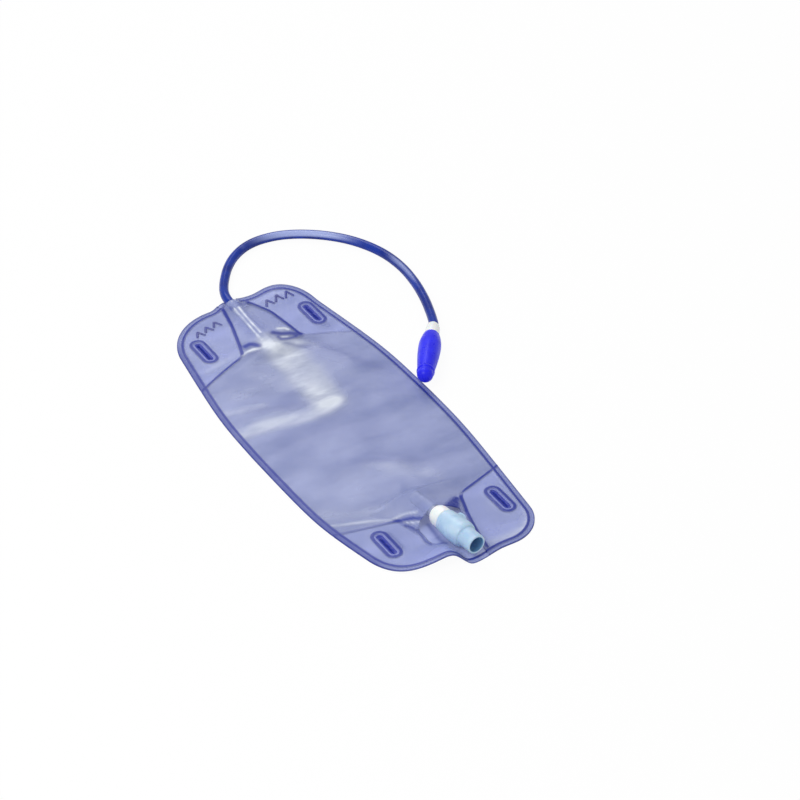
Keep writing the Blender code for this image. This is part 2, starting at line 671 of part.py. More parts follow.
def make_sleeve(group, sleeve_film):
    """The one-way sleeve: a flat film behind, and one in front that rises over the port's end."""
    corner = np.array([(1, 1), (-1, 1), (-1, -1), (1, -1)]) * 0.5
    size = np.array([2.0 * SLEEVE_HALF_WIDTH, SLEEVE_LENGTH])
    middle = np.array([SLEEVE_X, SLEEVE_TOP - SLEEVE_LENGTH / 2.0])
    outline = middle + corner * size
    plane, faces = film_mesh(outline, [], [], [])
    film_object("reflux_sleeve_back", plane, faces, sleeve_back_height, SLEEVE_FILM, group, sleeve_film)

    start = PORT_INNER_Y - TENT_LEAD + SLEEVE_LAG
    lines = tent_lines(inlet_x, TUBE_RADIUS + GAP, start, SLEEVE_TOP + MM, 5)
    rows = np.linspace(start, PORT_INNER_Y, 3)
    neck = np.array([(INLET_X + side * SLEEVE_NECK, y) for side in (-1, 1) for y in rows])
    plane, faces = film_mesh(outline, lines, [], neck)
    film_object("reflux_sleeve_front", plane, faces, sleeve_front_height, SLEEVE_FILM, group, sleeve_film)


# Turned pieces

def turned(name, profile, group, mat, closed=False, sides=SIDES):
    """A profile of (radius, distance) points, turned about local Z, its outer side run downwards."""
    mesh = bpy.data.meshes.new(name)
    count = len(profile)
    edges = [(i, (i + 1) % count) for i in range(count if closed else count - 1)]
    mesh.from_pydata([(r, 0.0, z) for r, z in profile], edges, [])
    obj = add_object(name, mesh, group, mat)
    turn = obj.modifiers.new("Turn", "SCREW")
    turn.axis = "Z"
    turn.angle = 2.0 * math.pi
    turn.steps = turn.render_steps = sides
    turn.use_merge_vertices = True
    turn.merge_threshold = 0.00001
    turn.use_smooth_shade = True
    return obj


def arc(radius_x, radius_z, centre, start, end, count):
    """Points of an elliptic arc, as (radius, distance)."""
    turn = np.linspace(math.radians(start), math.radians(end), count)
    return [(centre[0] + radius_x * math.cos(t), centre[1] + radius_z * math.sin(t)) for t in turn]


def valve_matrix():
    """Local Z out along the valve, local X across the bag, local Y up."""
    out = Vector((math.sin(VALVE_SWING) * math.cos(VALVE_TILT), -math.cos(VALVE_SWING) * math.cos(VALVE_TILT),
                  math.sin(VALVE_TILT)))
    across = Vector((math.cos(VALVE_SWING), math.sin(VALVE_SWING), 0.0))
    up = out.cross(across)
    turn = Matrix((across, up, out)).transposed().to_4x4()
    return Matrix.Translation((VALVE_X, VALVE_Y, VALVE_Z)) @ turn


def cap_axis():
    return Vector((math.cos(CAP_HEADING) * math.cos(CAP_TILT), math.sin(CAP_HEADING) * math.cos(CAP_TILT),
                   math.sin(CAP_TILT)))


def cap_matrix(distance_back):
    """Local Z towards the cap's tip, with the widest ring just clear of the surface."""
    out = cap_axis()
    across = Vector((0.0, 0.0, 1.0)).cross(out).normalized()
    up = out.cross(across)
    rear_z = CAP_MAX_RADIUS * math.cos(CAP_TILT) + CAP_FLOOR_GAP - CAP_WIDEST * math.sin(CAP_TILT)
    place = Vector((*CAP_REAR, rear_z)) - out * distance_back
    return Matrix.Translation(place) @ Matrix((across, up, out)).transposed().to_4x4()


def make_inlet_port(group, mat):
    length = PORT_OUTER_Y - PORT_INNER_Y
    profile = [(TUBE_BORE, length), (TUBE_RADIUS, length), (TUBE_RADIUS, 0.0), (TUBE_BORE, 0.0)]
    port = turned("inlet_port", profile, group, mat, closed=True)
    along = Matrix.Rotation(-math.pi / 2, 4, "X")
    port.matrix_world = Matrix.Translation((INLET_X, PORT_INNER_Y, INLET_Z)) @ along


def make_connector(group, mat):
    """White adaptor: a round-shouldered collar against the tube, then a stepped taper inside the cap."""
    pitch = CONNECTOR_STEM / CONNECTOR_STEPS
    fall = (STEM_ROOT_RADIUS - STEM_TIP_RADIUS) / CONNECTOR_STEPS
    end = CONNECTOR_COLLAR + CONNECTOR_STEM
    profile = [(CONNECTOR_BORE, end)]
    for i in range(CONNECTOR_STEPS):
        wide = STEM_TIP_RADIUS + fall * (i + 0.5)
        profile.append((wide - 0.8 * fall - STEP_NOTCH, end - i * pitch))
        profile.append((wide, end - (i + 0.55) * pitch))
        profile.append((wide - STEP_NOTCH, end - (i + 0.75) * pitch))
    profile.append((STEM_ROOT_RADIUS - STEP_NOTCH, CONNECTOR_COLLAR))
    profile.append((CONNECTOR_COLLAR_RADIUS, CONNECTOR_COLLAR))
    lip = TUBE_RADIUS + CONNECTOR_LIP
    centre = (lip, 1.1 * CONNECTOR_SHOULDER)
    profile += arc(CONNECTOR_COLLAR_RADIUS - lip, CONNECTOR_SHOULDER, centre, 0, -80, 6)
    profile += [(lip, 0.0), (CONNECTOR_BORE, 0.0)]
    connector = turned("inlet_connector", profile, group, mat, closed=True)
    connector.matrix_world = cap_matrix(CONNECTOR_COLLAR + GAP)


def make_cap(group, mat):
    """Blue cap: open at the rear, widest a quarter of the way along, with a ring and a round tip."""
    ring = CAP_LENGTH - CAP_RING
    neck = ring - CAP_RING_HALF
    outer = [(0.0, CAP_LENGTH)]
    outer += arc(CAP_NECK_RADIUS - CAP_EDGE, CAP_TIP, (0.0, CAP_LENGTH - CAP_TIP), 75, 0, 6)
    outer += [(CAP_NECK_RADIUS - CAP_EDGE, ring + CAP_RING_HALF), (CAP_NECK_RADIUS + CAP_RING_RISE, ring),
              (CAP_NECK_RADIUS, neck)]
    for share in (0.25, 0.5, 0.75):
        swell = (CAP_MAX_RADIUS - CAP_NECK_RADIUS) * math.sin(share * math.pi / 2)
        outer.append((CAP_NECK_RADIUS + swell, neck + share * (CAP_WIDEST - neck)))
    outer.append((CAP_MAX_RADIUS, CAP_WIDEST))
    for share in (0.35, 0.7):
        rise = (CAP_MAX_RADIUS - CAP_REAR_RADIUS) * (1.0 - share ** 1.7)
        outer.append((CAP_REAR_RADIUS + rise, CAP_WIDEST * (1.0 - share)))
    outer += [(CAP_REAR_RADIUS, CAP_REAR_BAND), (CAP_REAR_RADIUS - CAP_EDGE, 0.0)]
    inner = [(STEM_ROOT_RADIUS + GAP, 0.0), (STEM_TIP_RADIUS + GAP, CONNECTOR_STEM + CAP_SPARE),
             (0.0, CONNECTOR_STEM + 2.0 * CAP_SPARE)]
    cap = turned("connector_cap", outer + inner, group, mat)
    cap.matrix_world = cap_matrix(0.0)


def make_outlet_port(group, mat):
    bore = SPIGOT_RADIUS + GAP
    front = -COLLAR_BACK - GAP
    profile = [(bore, front), (OUTLET_RADIUS, front), (OUTLET_RADIUS, front - OUTLET_LENGTH),
               (bore, front - OUTLET_LENGTH)]
    port = turned("outlet_port", profile, group, mat, closed=True)
    port.matrix_world = valve_matrix()


def flow_cutter(name, group, angle, low, high):
    """A drill for the hole beside the valve's axis, at an angle round it."""
    mesh = bpy.data.meshes.new(name)
    form = bmesh.new()
    bmesh.ops.create_cone(form, cap_ends=True, segments=14, radius1=FLOW_HOLE, radius2=FLOW_HOLE,
                          depth=high - low)
    form.to_mesh(mesh)
    form.free()
    cutter = bpy.data.objects.new(name, mesh)
    group.objects.link(cutter)
    hide_cutter(cutter)
    place = (FLOW_OFFSET * math.cos(angle), FLOW_OFFSET * math.sin(angle), (low + high) / 2.0)
    cutter.matrix_world = valve_matrix() @ Matrix.Translation(place)
    return cutter


def make_valve_stem(group, cutters, mat):
    """White core: a spigot in the port, a round-backed collar, and a hollow barrel inside the sleeve."""
    profile = [(0.0, CORE_END), (CORE_RADIUS - GAP, CORE_END), (CORE_RADIUS, CORE_END - GAP)]
    for place in sorted(RING_PLACES, reverse=True):
        for radius in (CORE_RADIUS, CORE_RADIUS - RING_DEPTH):
            profile.append((radius, place + RING_GROOVE / 2.0))
        for radius in (CORE_RADIUS - RING_DEPTH, CORE_RADIUS):
            profile.append((radius, place - RING_GROOVE / 2.0))
    snap = COLLAR_FRONT + GAP + SNAP_PLACE
    profile += [(CORE_RADIUS, snap + SNAP_HALF), (CORE_RADIUS + SNAP_RISE, snap + SNAP_CREST),
                (CORE_RADIUS + SNAP_RISE, snap - SNAP_CREST), (CORE_RADIUS, snap - SNAP_HALF)]
    profile += [(CORE_RADIUS, COLLAR_FRONT), (COLLAR_RADIUS - COLLAR_EDGE, COLLAR_FRONT),
                (COLLAR_RADIUS, COLLAR_FRONT - COLLAR_EDGE)]
    foot = OUTLET_RADIUS - COLLAR_LIP
    profile += arc(COLLAR_RADIUS - foot, COLLAR_BACK, (foot, 0.0), 0, -90, 6)
    back = -COLLAR_BACK - SPIGOT_LENGTH
    profile += [(SPIGOT_RADIUS, -COLLAR_BACK), (SPIGOT_RADIUS, back + SPIGOT_EDGE),
                (SPIGOT_RADIUS - SPIGOT_EDGE, back), (SPIGOT_BORE, back), (SPIGOT_BORE, -BORE_STEP),
                (CORE_BORE, BORE_STEP), (CORE_BORE, CORE_END - WEB), (0.0, CORE_END - WEB)]
    stem = turned("valve_stem", profile, group, mat)
    stem.matrix_world = valve_matrix()
    drill = flow_cutter("stem_drill", cutters, math.radians(45.0), CORE_END - 2.0 * WEB, CORE_END + WEB)
    add_boolean(stem, drill, "DIFFERENCE")


def wing_mesh(name):
    """The thumb wing: a flat plate out of one side, its outer corner rounded, its front edge sloped."""
    root = CORE_RADIUS + SNAP_RISE + WING_ROOT
    corner = arc(WING_CORNER, WING_CORNER, (WING_REACH - WING_CORNER, WING_START + WING_CORNER), -90, 0, 4)
    flank = WING_END - 2.0 * WING_SHORT + WING_CORNER
    outline = [(root, WING_START), *corner, (WING_REACH, flank),
               (WING_REACH - 0.5 * WING_CORNER, flank + WING_CORNER), (root, WING_END)]
    form = bmesh.new()
    face = form.faces.new([form.verts.new((x, -WING_THICK / 2.0, z)) for x, z in outline])
    grown = bmesh.ops.extrude_face_region(form, geom=[face])
    moved = [v for v in grown["geom"] if isinstance(v, bmesh.types.BMVert)]
    bmesh.ops.translate(form, verts=moved, vec=(0.0, WING_THICK, 0.0))
    bmesh.ops.recalc_face_normals(form, faces=form.faces)
    mesh = bpy.data.meshes.new(name)
    form.to_mesh(mesh)
    form.free()
    return mesh


def make_valve_sleeve(group, cutters, mat):
    """Light blue sleeve: turns a quarter on the stem until the hole in its web meets the stem's hole."""
    rear = COLLAR_FRONT + GAP
    bore = CORE_RADIUS + GAP
    web = CORE_END + GAP
    mouth = NOZZLE_RADIUS - NOZZLE_WALL
    snap = rear + SNAP_PLACE
    outer = [(0.0, web + WEB), (mouth - NOZZLE_DRAFT, web + WEB), (mouth, NOZZLE_END - NOZZLE_EDGE),
             (mouth + NOZZLE_EDGE, NOZZLE_END), (NOZZLE_RADIUS - NOZZLE_EDGE, NOZZLE_END),
             (NOZZLE_RADIUS, NOZZLE_END - NOZZLE_EDGE), (NOZZLE_RADIUS + NOZZLE_DRAFT, NOZZLE_START)]
    fall = NOZZLE_START - SLEEVE_WIDEST - SLEEVE_BAND
    step = SLEEVE_RADIUS - NOZZLE_RADIUS - NOZZLE_DRAFT
    outer += [(SLEEVE_RADIUS - step * (1.0 - math.sin(t)), NOZZLE_START - fall * (1.0 - math.cos(t)))
              for t in (0.25 * math.pi, 0.37 * math.pi)]
    outer += [(SLEEVE_RADIUS, SLEEVE_WIDEST + SLEEVE_BAND), (SLEEVE_RADIUS, SLEEVE_WIDEST)]
    back = rear + COLLAR_EDGE - SLEEVE_WIDEST
    outer += [(SLEEVE_RADIUS - SLEEVE_TAPER * share ** 1.3, SLEEVE_WIDEST + share * back)
              for share in (0.38, 0.76, 1.0)]
    outer.append((SLEEVE_RADIUS - SLEEVE_TAPER - COLLAR_EDGE, rear))
    foot = SNAP_HALF + SNAP_EASE
    crest = SNAP_CREST + SNAP_EASE
    inner = [(bore + GAP, rear), (bore, rear + GAP), (bore, snap - foot), (bore + SNAP_RISE, snap - crest),
             (bore + SNAP_RISE, snap + crest), (bore, snap + foot), (bore, web), (0.0, web)]
    sleeve = turned("valve_sleeve", outer + inner, group, mat)
    sleeve.matrix_world = valve_matrix()
    wing = bpy.data.objects.new("sleeve_wing", wing_mesh("sleeve_wing"))
    cutters.objects.link(wing)
    hide_cutter(wing)
    wing.matrix_world = valve_matrix()
    add_boolean(sleeve, wing, "UNION")
    drill = flow_cutter("sleeve_drill", cutters, math.radians(-45.0), web - WEB / 2.0, web + 2.0 * WEB)
    add_boolean(sleeve, drill, "DIFFERENCE")


def make_o_rings(group, mat):
    """Two seals in the stem's grooves."""
    middle = CORE_RADIUS - RING_DEPTH + GAP / 2.0 + RING_SECTION
    for name, place in zip(("o_ring_inner", "o_ring_outer"), RING_PLACES):
        section = arc(RING_SECTION, RING_SECTION, (middle, place), 0, -315, 8)
        ring = turned(name, section, group, mat, closed=True, sides=SIDES)
        ring.matrix_world = valve_matrix()


# Inlet tube

def tube_route():
    """Points through which the free tube runs, from the port to the connector, chosen by hand."""
    start = Vector((INLET_X, PORT_OUTER_Y + GAP, INLET_Z))
    end = cap_matrix(CONNECTOR_COLLAR + 2.0 * GAP).translation
    over_edge = [(2.3, 168.6, 4.45), (5.5, 176.6, 3.9)]
    on_surface = [(12.0, 187.2), (21.9, 199.6), (33.3, 209.4), (46.7, 215.8), (61.1, 217.2), (77.5, 213.4),
                  (94.7, 203.4), (109.9, 188.9), (120.5, 172.4), (127.1, 153.6), (129.1, 133.0),
                  (127.1, 112.2)]
    to_connector = [(122.3, 92.4, 4.2), (116.1, 74.2, 5.1)]
    low = (TUBE_RADIUS + TUBE_FLOOR_GAP) / MM
    middle = over_edge + [(x, y, low) for x, y in on_surface] + to_connector
    straight = TUBE_LEAD * Vector((0.0, 1.0, 0.0))
    points = [Vector(point) * MM for point in middle]
    return [start, start + straight] + points + [end - TUBE_LEAD * cap_axis(), end]


def smooth_route(points, first, last, per_span):
    """Cubic spans through the points, with the end directions of what the tube joins."""
    middle = [(after - before).normalized() for before, after in zip(points, points[2:])]
    turns = [first, *middle, last]
    route = []
    for i in range(len(points) - 1):
        a, b = points[i], points[i + 1]
        reach = (b - a).length
        for step in range(per_span):
            t = step / per_span
            there = 3 * t ** 2 - 2 * t ** 3
            leave = (t ** 3 - 2 * t ** 2 + t) * reach
            arrive = (t ** 3 - t ** 2) * reach
            route.append((1.0 - there) * a + there * b + leave * turns[i] + arrive * turns[i + 1])
    return route + [points[-1]]


def make_tube(group, mat):
    route = smooth_route(tube_route(), Vector((0.0, 1.0, 0.0)), cap_axis(), 3)
    curve = bpy.data.curves.new("inlet_tube", "CURVE")
    curve.dimensions = "3D"
    curve.bevel_depth = TUBE_RADIUS
    curve.bevel_resolution = 2
    curve.use_fill_caps = True
    spline = curve.splines.new("POLY")
    spline.points.add(len(route) - 1)
    for point, place in zip(spline.points, route):
        point.co = (*place, 1.0)
    tube = bpy.data.objects.new("inlet_tube", curve)
    curve.materials.append(mat)
    group.objects.link(tube)


def main():
    clear_scene()
    group = collection("urine_drainage_bag")
    cutters = collection("cutters")
    film = material("vinyl_film", (0.30, 0.34, 0.62), 0.3, 0.6)
    sleeve_film = material("sleeve_film", (0.70, 0.74, 0.88), 0.4, 0.6)
    clear = material("clear_vinyl_tube", (0.60, 0.66, 0.85), 0.2, 0.6)
    blue_tube = material("blue_vinyl_tube", (0.02, 0.05, 0.32), 0.2)
    white = material("white_moulding", (0.86, 0.90, 0.90), 0.35)
    cap_blue = material("cap_blue", (0.05, 0.04, 0.75), 0.35)
    pale_blue = material("pale_blue_moulding", (0.48, 0.68, 0.84), 0.35)
    rubber = material("seal_rubber", (0.03, 0.03, 0.03), 0.6)

    make_films(group, film)
    make_sleeve(group, sleeve_film)
    make_inlet_port(group, clear)
    make_tube(group, blue_tube)
    make_connector(group, white)
    make_cap(group, cap_blue)
    make_outlet_port(group, clear)
    make_valve_stem(group, cutters, white)
    make_valve_sleeve(group, cutters, pale_blue)
    make_o_rings(group, rubber)


main()
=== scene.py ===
"""Leg-worn urine drainage bag: fine surfaces, materials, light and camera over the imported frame.

Shapes are worked out in millimetres, in the part's own frame, and scaled to metres where a mesh is made.
"""

import math

import bmesh
import bpy
import numpy as np
from mathutils import Matrix, Vector


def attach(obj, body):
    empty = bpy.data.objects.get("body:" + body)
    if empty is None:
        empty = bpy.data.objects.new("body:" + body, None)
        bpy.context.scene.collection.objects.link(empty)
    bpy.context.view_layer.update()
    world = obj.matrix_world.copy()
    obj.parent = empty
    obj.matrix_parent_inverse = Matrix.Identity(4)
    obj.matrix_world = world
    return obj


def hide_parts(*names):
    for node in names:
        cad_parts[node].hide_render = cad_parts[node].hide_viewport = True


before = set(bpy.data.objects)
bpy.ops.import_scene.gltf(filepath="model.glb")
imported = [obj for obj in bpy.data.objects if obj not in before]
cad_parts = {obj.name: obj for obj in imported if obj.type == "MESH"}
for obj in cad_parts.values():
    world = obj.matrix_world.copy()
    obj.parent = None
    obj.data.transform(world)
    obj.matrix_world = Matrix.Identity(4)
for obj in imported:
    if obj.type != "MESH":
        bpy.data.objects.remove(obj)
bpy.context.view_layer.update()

MM = 0.001
GAP = 0.3

# Camera and light
CAMERA_AZIMUTH = math.radians(-31.786)
CAMERA_ELEVATION = math.radians(37.853)
CAMERA_DISTANCE = 2136.7
CAMERA_TARGET = (47.53, 4.14, 0)
CAMERA_LENS = 139.8
WORLD_LIGHT = 0.5
FLOOR_GLOW = 0.95                   # share of the floor's look that no shadow reaches
FLOOR_DROP = 0.2
FLOOR_HALF = 3000
WHITE = (1, 1, 1, 1)

# Bag outline
HALF_WIDTH = 70.5
END_HALF_WIDTH = 58.3
HALF_LENGTH = 162.5
STRAIGHT_HALF = 58
TAPER_BLEND = 26
CORNER_RADIUS = 30
TAPER_FROM_END = 30
END_BULGE = 4.5
BULGE_HALF_WIDTH = 24
DIE_X = 3
# Each quarter: what it adds to the straight half, the end half width and the corner radius, and how far
# its end edge lies inside
TOP_RIGHT = (0, 0, 0, 0)
TOP_LEFT = (-12, -1, 14, 1.2)
BOTTOM_LEFT = (26, 0, 10, 2)
BOTTOM_RIGHT = (-18, 2, -2, -1.2)

# Films
FILM = 0.4
SLEEVE_FILM = 0.2
POUCH_CROWN = 3.4
FRONT_BASE = FILM + GAP
SLEEVE_FRONT_BASE = FRONT_BASE + SLEEVE_FILM + GAP

# Raised tab, raised corner, and the rise under the outlet port. A pair is where a rise starts, and its run
CURL_HEIGHT = 8.5
CURL_ALONG = (132, 30)
CURL_OUTER = (-58.5, 42)
CURL_INNER = (2.5, 13)
CORNER_LIFT = 5
CORNER_ALONG = (130.5, 36)
CORNER_ACROSS = (11, 32)
PORT_LIFT = 1.7
PORT_LIFT_SPREAD = 11
PORT_LIFT_RUN = 12
PORT_LIFT_LEAD = 11.4
TENT_LEAD = 13
TENT_RUN = 10
TENT_EASE = 0.15
TENT_STOP = 1.1

# Welds
WELD_INSET = 4.6
RIM_LINE = 4                        # where the edge weld is darkest
BEAD_SPREAD = 0.9
BEAD_HEIGHT = 0.25
BACK_BEAD_HEIGHT = 0.15
SHOULDER_Y = 109.5
SHOULDER_REACH = 61
SHOULDER_TOP = (23, 1.35)           # drop at the reach, and the power of the curve
SHOULDER_BOTTOM = (14.5, 1.2)
SHOULDER_SKEW_BOTTOM = 0.05
CHANNEL_TOP = [(58.5, -20, 26.8), (45, -15.6, 25.4), (24.5, -9.7, 22.6), (4.5, -5.7, 13.8)]
CHANNEL_BOTTOM = [(57.5, -22.8, 26.5), (47.5, -19.8, 23.4), (41.5, -18.4, 21.3), (34, -18, 19.2),
                  (27, -18.6, 17.4), (20.3, -17, 15.9), (15, -13.8, 14.9), (2.5, -9, 13)]
CHANNEL_FLARE = 1.2
CHANNEL_EASE = 3                    # rounds the bends of the channel welds

# Strap slots
SLOT_X = 44
SLOT_Y = 122.2
SLOT_HALF = 8.75                    # half length of a slot's centre line
WINDOW_RADIUS = 2.5
SLIT_RADIUS = 0.45
SLIT_LEFT = 0.1                     # the edges of the cut nearly meet
LAND_TOP = 5.1
LAND_FOOT = 5.9
LAND_HEIGHT = 0.3
SLOT_RING = 7

# Inlet
TUBE_RADIUS = 3.4
TUBE_BORE = 2.3
TUBE_LEAD = 3
TUBE_FLOOR_GAP = 0.1
INLET_X = 1
INLET_Z = SLEEVE_FRONT_BASE + TUBE_RADIUS
PORT_INNER_Y = 97
PORT_OUTER_Y = 158
NOTCH = (8, 10.5)                   # half width and depth of the front film's notch
SLEEVE_X = 5
SLEEVE_HALF_WIDTH = 12
SLEEVE_TOP = 104
SLEEVE_LENGTH = 82
SLEEVE_NECK = 8
SLEEVE_LAG = 2

# Connector and cap
CAP_REAR = (100.4, 47.3)
CAP_HEADING = math.radians(-127.4)
CAP_TILT = math.radians(4)
CAP_LENGTH = 55
CAP_MAX = 8
CAP_REAR_RADIUS = 5.7
CAP_NECK = 6
CAP_WIDEST = 15
CAP_TIP = 5.2
CAP_RING = 46                       # middle of the grip ring, from the rear end
COLLAR_LENGTH = 12.6
COLLAR_RADIUS = 5.1
COLLAR_SHOULDER = 6
COLLAR_LIP = 3.9
STEM_LENGTH = 33
STEM_STEPS = 4
STEM_ROOT = 4.4
STEM_TIP = 3.2
CONNECTOR_BORE = 2

# Drain valve
VALVE_X = -1.1
VALVE_Y = -124.5
VALVE_SWING = math.radians(5)
VALVE_TILT = math.radians(3)
BODY_RADIUS = 9
BODY_WIDEST = 18
VALVE_Z = FILM + GAP + BODY_RADIUS * math.cos(VALVE_TILT) - BODY_WIDEST * math.sin(VALVE_TILT)
OUTLET_RADIUS = 4.75
OUTLET_OUTER_Y = -118.9
OUTLET_INNER_Y = -97.4
OUTLET_LENGTH = 21.5
NOZZLE_RADIUS = 6.7
NOZZLE_START = 27.5
NOZZLE_END = 38.5
MOUTH_RADIUS = 5.3
DOME_RADIUS = 7.4
DOME_BACK = 5.3
DOME_FRONT = 4.5
CORE_RADIUS = 5.3
CORE_BORE = 3.5
CORE_END = 25
WEB = 2
SPIGOT_RADIUS = 3.2
SPIGOT_LENGTH = 12
RING_PLACES = (10, 19)
RING_GROOVE = 1.8
RING_DEPTH = 0.85
SNAP_RISE = 0.45
SNAP_PLACE = 1.1
WING_REACH = 12.4
WING_THICK = 3
WING_START = 5.6
WING_END = 20
FLOW_HOLE = 1.3
FLOW_OFFSET = 2.1

SIDES = 96                          # facets round a turned piece
TUBE_SIDES = 48
TUBE_STEPS = 16                     # rings for each span of the tube's route

# How the film's rise over the inlet falls off, each as a start and a run: towards the bag's edge, counted
# from inside, and away from the inlet's axis
INLET_EDGE = (-15, 13)
INLET_SIDE = (4, 5)
WELL_INSIDE = 20                    # a distance from the edge at which the edge has no effect
PLANE = 1                           # height of the plane on which the patches' places are given

# Film grids
QUARTER_POINTS = 150
BAND_ROWS = (0, 0.5, 1.5, 2.5, 3.5, 4.05, 4.6, 5.15, 5.7, 6.9, 8)
INNER_ROWS = 45
SPINE = 118                         # the rows end on a line down the middle, this far each way
SNAP = 0.8
SLEEVE_COLUMNS = 61
SLEEVE_ROWS = 205

# Colours, as sRGB
FILM_POUCH = "#b3bde8"
FILM_POUCH_DARK = "#97a3d6"
FILM_TAB = "#b4bff4"
FILM_TAB_DARK = "#a3afe4"
FILM_BAND = "#949fdc"
# Colours of the painted highlights and the painted shade on the films
FILM_HIGHLIGHT_PALE = "#eef4ff"
FILM_SHADE_BLUE = "#26389f"
WELD_BLUE = "#1c2e9b"
SLOT_BLUE = "#1f2fa0"
SLOT_LIGHT = "#a9b4fa"


# Small helpers

def linear(text):
    """An sRGB hex colour as linear RGBA."""
    parts = [int(text[i:i + 2], 16) / 255 for i in (1, 3, 5)]
    rgb = [c / 12.92 if c <= 0.04045 else ((c + 0.055) / 1.055) ** 2.4 for c in parts]
    return (*rgb, 1)


def smooth(t):
    """An S-curve from nothing at zero to one at one: three squares less two cubes."""
    t = np.clip(t, 0, 1)
    return t * t * (3 - 2 * t)


def full_turn(count):
    """Even angles round a circle."""
    return np.linspace(0, math.tau, count, endpoint=False)


def eased(value, start, run):
    """An S-curve from nothing at a start to one a run further on."""
    return smooth((value - start) / run)


def smooth_max(a, b):
    """The larger of two heights, with a rounded valley where both are well above nothing."""
    ease = 1.2 * smooth(np.minimum(a, b) / 1.5)
    return 0.5 * (a + b + np.sqrt((a - b) ** 2 + ease ** 2))


def unit(rows):
    """Each row brought to a length of one."""
    return rows / np.linalg.norm(rows, axis=1, keepdims=True)


def feet(points, a, b):
    """The nearest place to each point on each straight piece from a to b, and how far off it is."""
    step = b - a
    off = points[:, None] - a
    share = np.clip((off * step).sum(-1) / np.maximum((step * step).sum(-1), 1e-12), 0, 1)
    return a + share[..., None] * step, np.linalg.norm(off - share[..., None] * step, axis=-1)


def distance(points, line):
    """Least distance from each point to a line of straight pieces."""
    line = np.asarray(line, float)
    return feet(points, line[:-1], line[1:])[1].min(axis=1)


def nearest(points, loop):
    """The nearest place on a closed loop to each point."""
    places, off = feet(points, loop, np.roll(loop, -1, axis=0))
    return places[np.arange(len(points)), off.argmin(axis=1)]


def inside(points, loop):
    """Even-odd test of each point against a closed loop."""
    x, y = points[:, :1], points[:, 1:]
    x0, y0 = loop[:, 0], loop[:, 1]
    x1, y1 = np.roll(x0, -1), np.roll(y0, -1)
    rise = np.where(y1 == y0, 1e-12, y1 - y0)
    crossing = ((y0 > y) != (y1 > y)) & (x < x0 + (y - y0) * (x1 - x0) / rise)
    return crossing.sum(axis=1) % 2 == 1


def resample(line, count):
    """The line's points spaced evenly along it, and how far along each one lies."""
    along = np.concatenate([[0], np.cumsum(np.linalg.norm(np.diff(line, axis=0), axis=1))])
    places = np.linspace(0, along[-1], count)
    return np.column_stack([np.interp(places, along, line[:, k]) for k in range(line.shape[1])]), places


def grid_faces(rows, columns, wrap_columns=True, wrap_rows=False):
    """Two triangles for each cell of a grid of points held row by row."""
    i, j = np.meshgrid(np.arange(rows if wrap_rows else rows - 1),
                       np.arange(columns if wrap_columns else columns - 1), indexing="ij")
    here, below = i * columns, (i + 1) % rows * columns
    after = (j + 1) % columns
    a, b, c, d = here + j, here + after, below + after, below + j
    return np.stack([a, b, c, a, c, d], axis=-1).reshape(-1, 3)


def link(name, data):
    """A new object in the scene."""
    obj = bpy.data.objects.new(name, data)
    bpy.context.scene.collection.objects.link(obj)
    return obj


def add_object(name, mesh, material, body, node=None):
    """A piece that rides a body, takes its finish from a slot, and stands for a node where one is given."""
    obj = link(name, mesh)
    mesh.materials.append(material)
    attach(obj, body)
    if node:
        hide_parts(node)
    return obj


def add_field(mesh, name, values):
    """A number for each point of a mesh, for its material to read."""
    data = mesh.attributes.new(name, "FLOAT", "POINT")
    data.data.foreach_set("value", np.asarray(values, np.float32))


def vertices(mesh):
    """A mesh's points, in millimetres."""
    flat = np.empty(3 * len(mesh.vertices), np.float32)
    mesh.vertices.foreach_get("co", flat)
    return flat.reshape(-1, 3).astype(float) / MM


def raw_mesh(name, points, faces):
    """A smooth-shaded mesh from points in millimetres."""
    mesh = bpy.data.meshes.new(name)
    mesh.from_pydata((points * MM).tolist(), [], faces.tolist())
    mesh.shade_smooth()
    return mesh


def solid_mesh(name, points, faces):
    """A closed smooth mesh: doubles merged, normals outwards."""
    mesh = raw_mesh(name, points, faces)
    form = bmesh.new()
    form.from_mesh(mesh)
    bmesh.ops.remove_doubles(form, verts=form.verts, dist=0.000001)
    bmesh.ops.dissolve_degenerate(form, dist=0.000001, edges=form.edges)
    bmesh.ops.recalc_face_normals(form, faces=form.faces)
    form.to_mesh(mesh)
    form.free()
    mesh.shade_smooth()
    return mesh


def rounded(profile, radius, closed=False):
    """Each corner of a profile replaced by a short curve that starts and ends on its two sides."""
    points = np.array(profile, float)
    count = len(points)
    result = []
    for i in range(count):
        if not closed and i in (0, count - 1):
            result.append(points[i])
            continue
        here = points[i]
        ends = []
        for step in (points[i - 1] - here, points[(i + 1) % count] - here):
            length = max(np.linalg.norm(step), 1e-9)
            ends.append(here + step / length * min(radius, 0.45 * length))
        for t in np.linspace(0, 1, 4):
            result.append((1 - t) ** 2 * ends[0] + 2 * t * (1 - t) * here + t * t * ends[1])
    return np.array(result)


def placed(points, matrix):
    """Points of a matrix's own space, seen from outside it."""
    axes = np.array(matrix)
    return points @ axes[:3, :3].T + axes[:3, 3]


def turned_mesh(name, profile, matrix, radius=0.25, closed=False):
    """A profile of (radius, distance) turned about the matrix's own Z axis, corners rounded."""
    line = rounded(profile, radius, closed)
    turn = full_turn(SIDES)
    r, z = line[:, :1], line[:, 1:]
    local = np.stack([r * np.cos(turn), r * np.sin(turn), np.broadcast_to(z, (len(line), SIDES))], axis=-1)
    return solid_mesh(name, placed(local.reshape(-1, 3), matrix), grid_faces(len(line), SIDES, True, closed))


def arc(radius_x, radius_z, centre, start, end, count):
    """Profile points along part of an ellipse, between two angles in degrees."""
    turn = np.linspace(math.radians(start), math.radians(end), count)
    return [(centre[0] + radius_x * math.cos(t), centre[1] + radius_z * math.sin(t)) for t in turn]


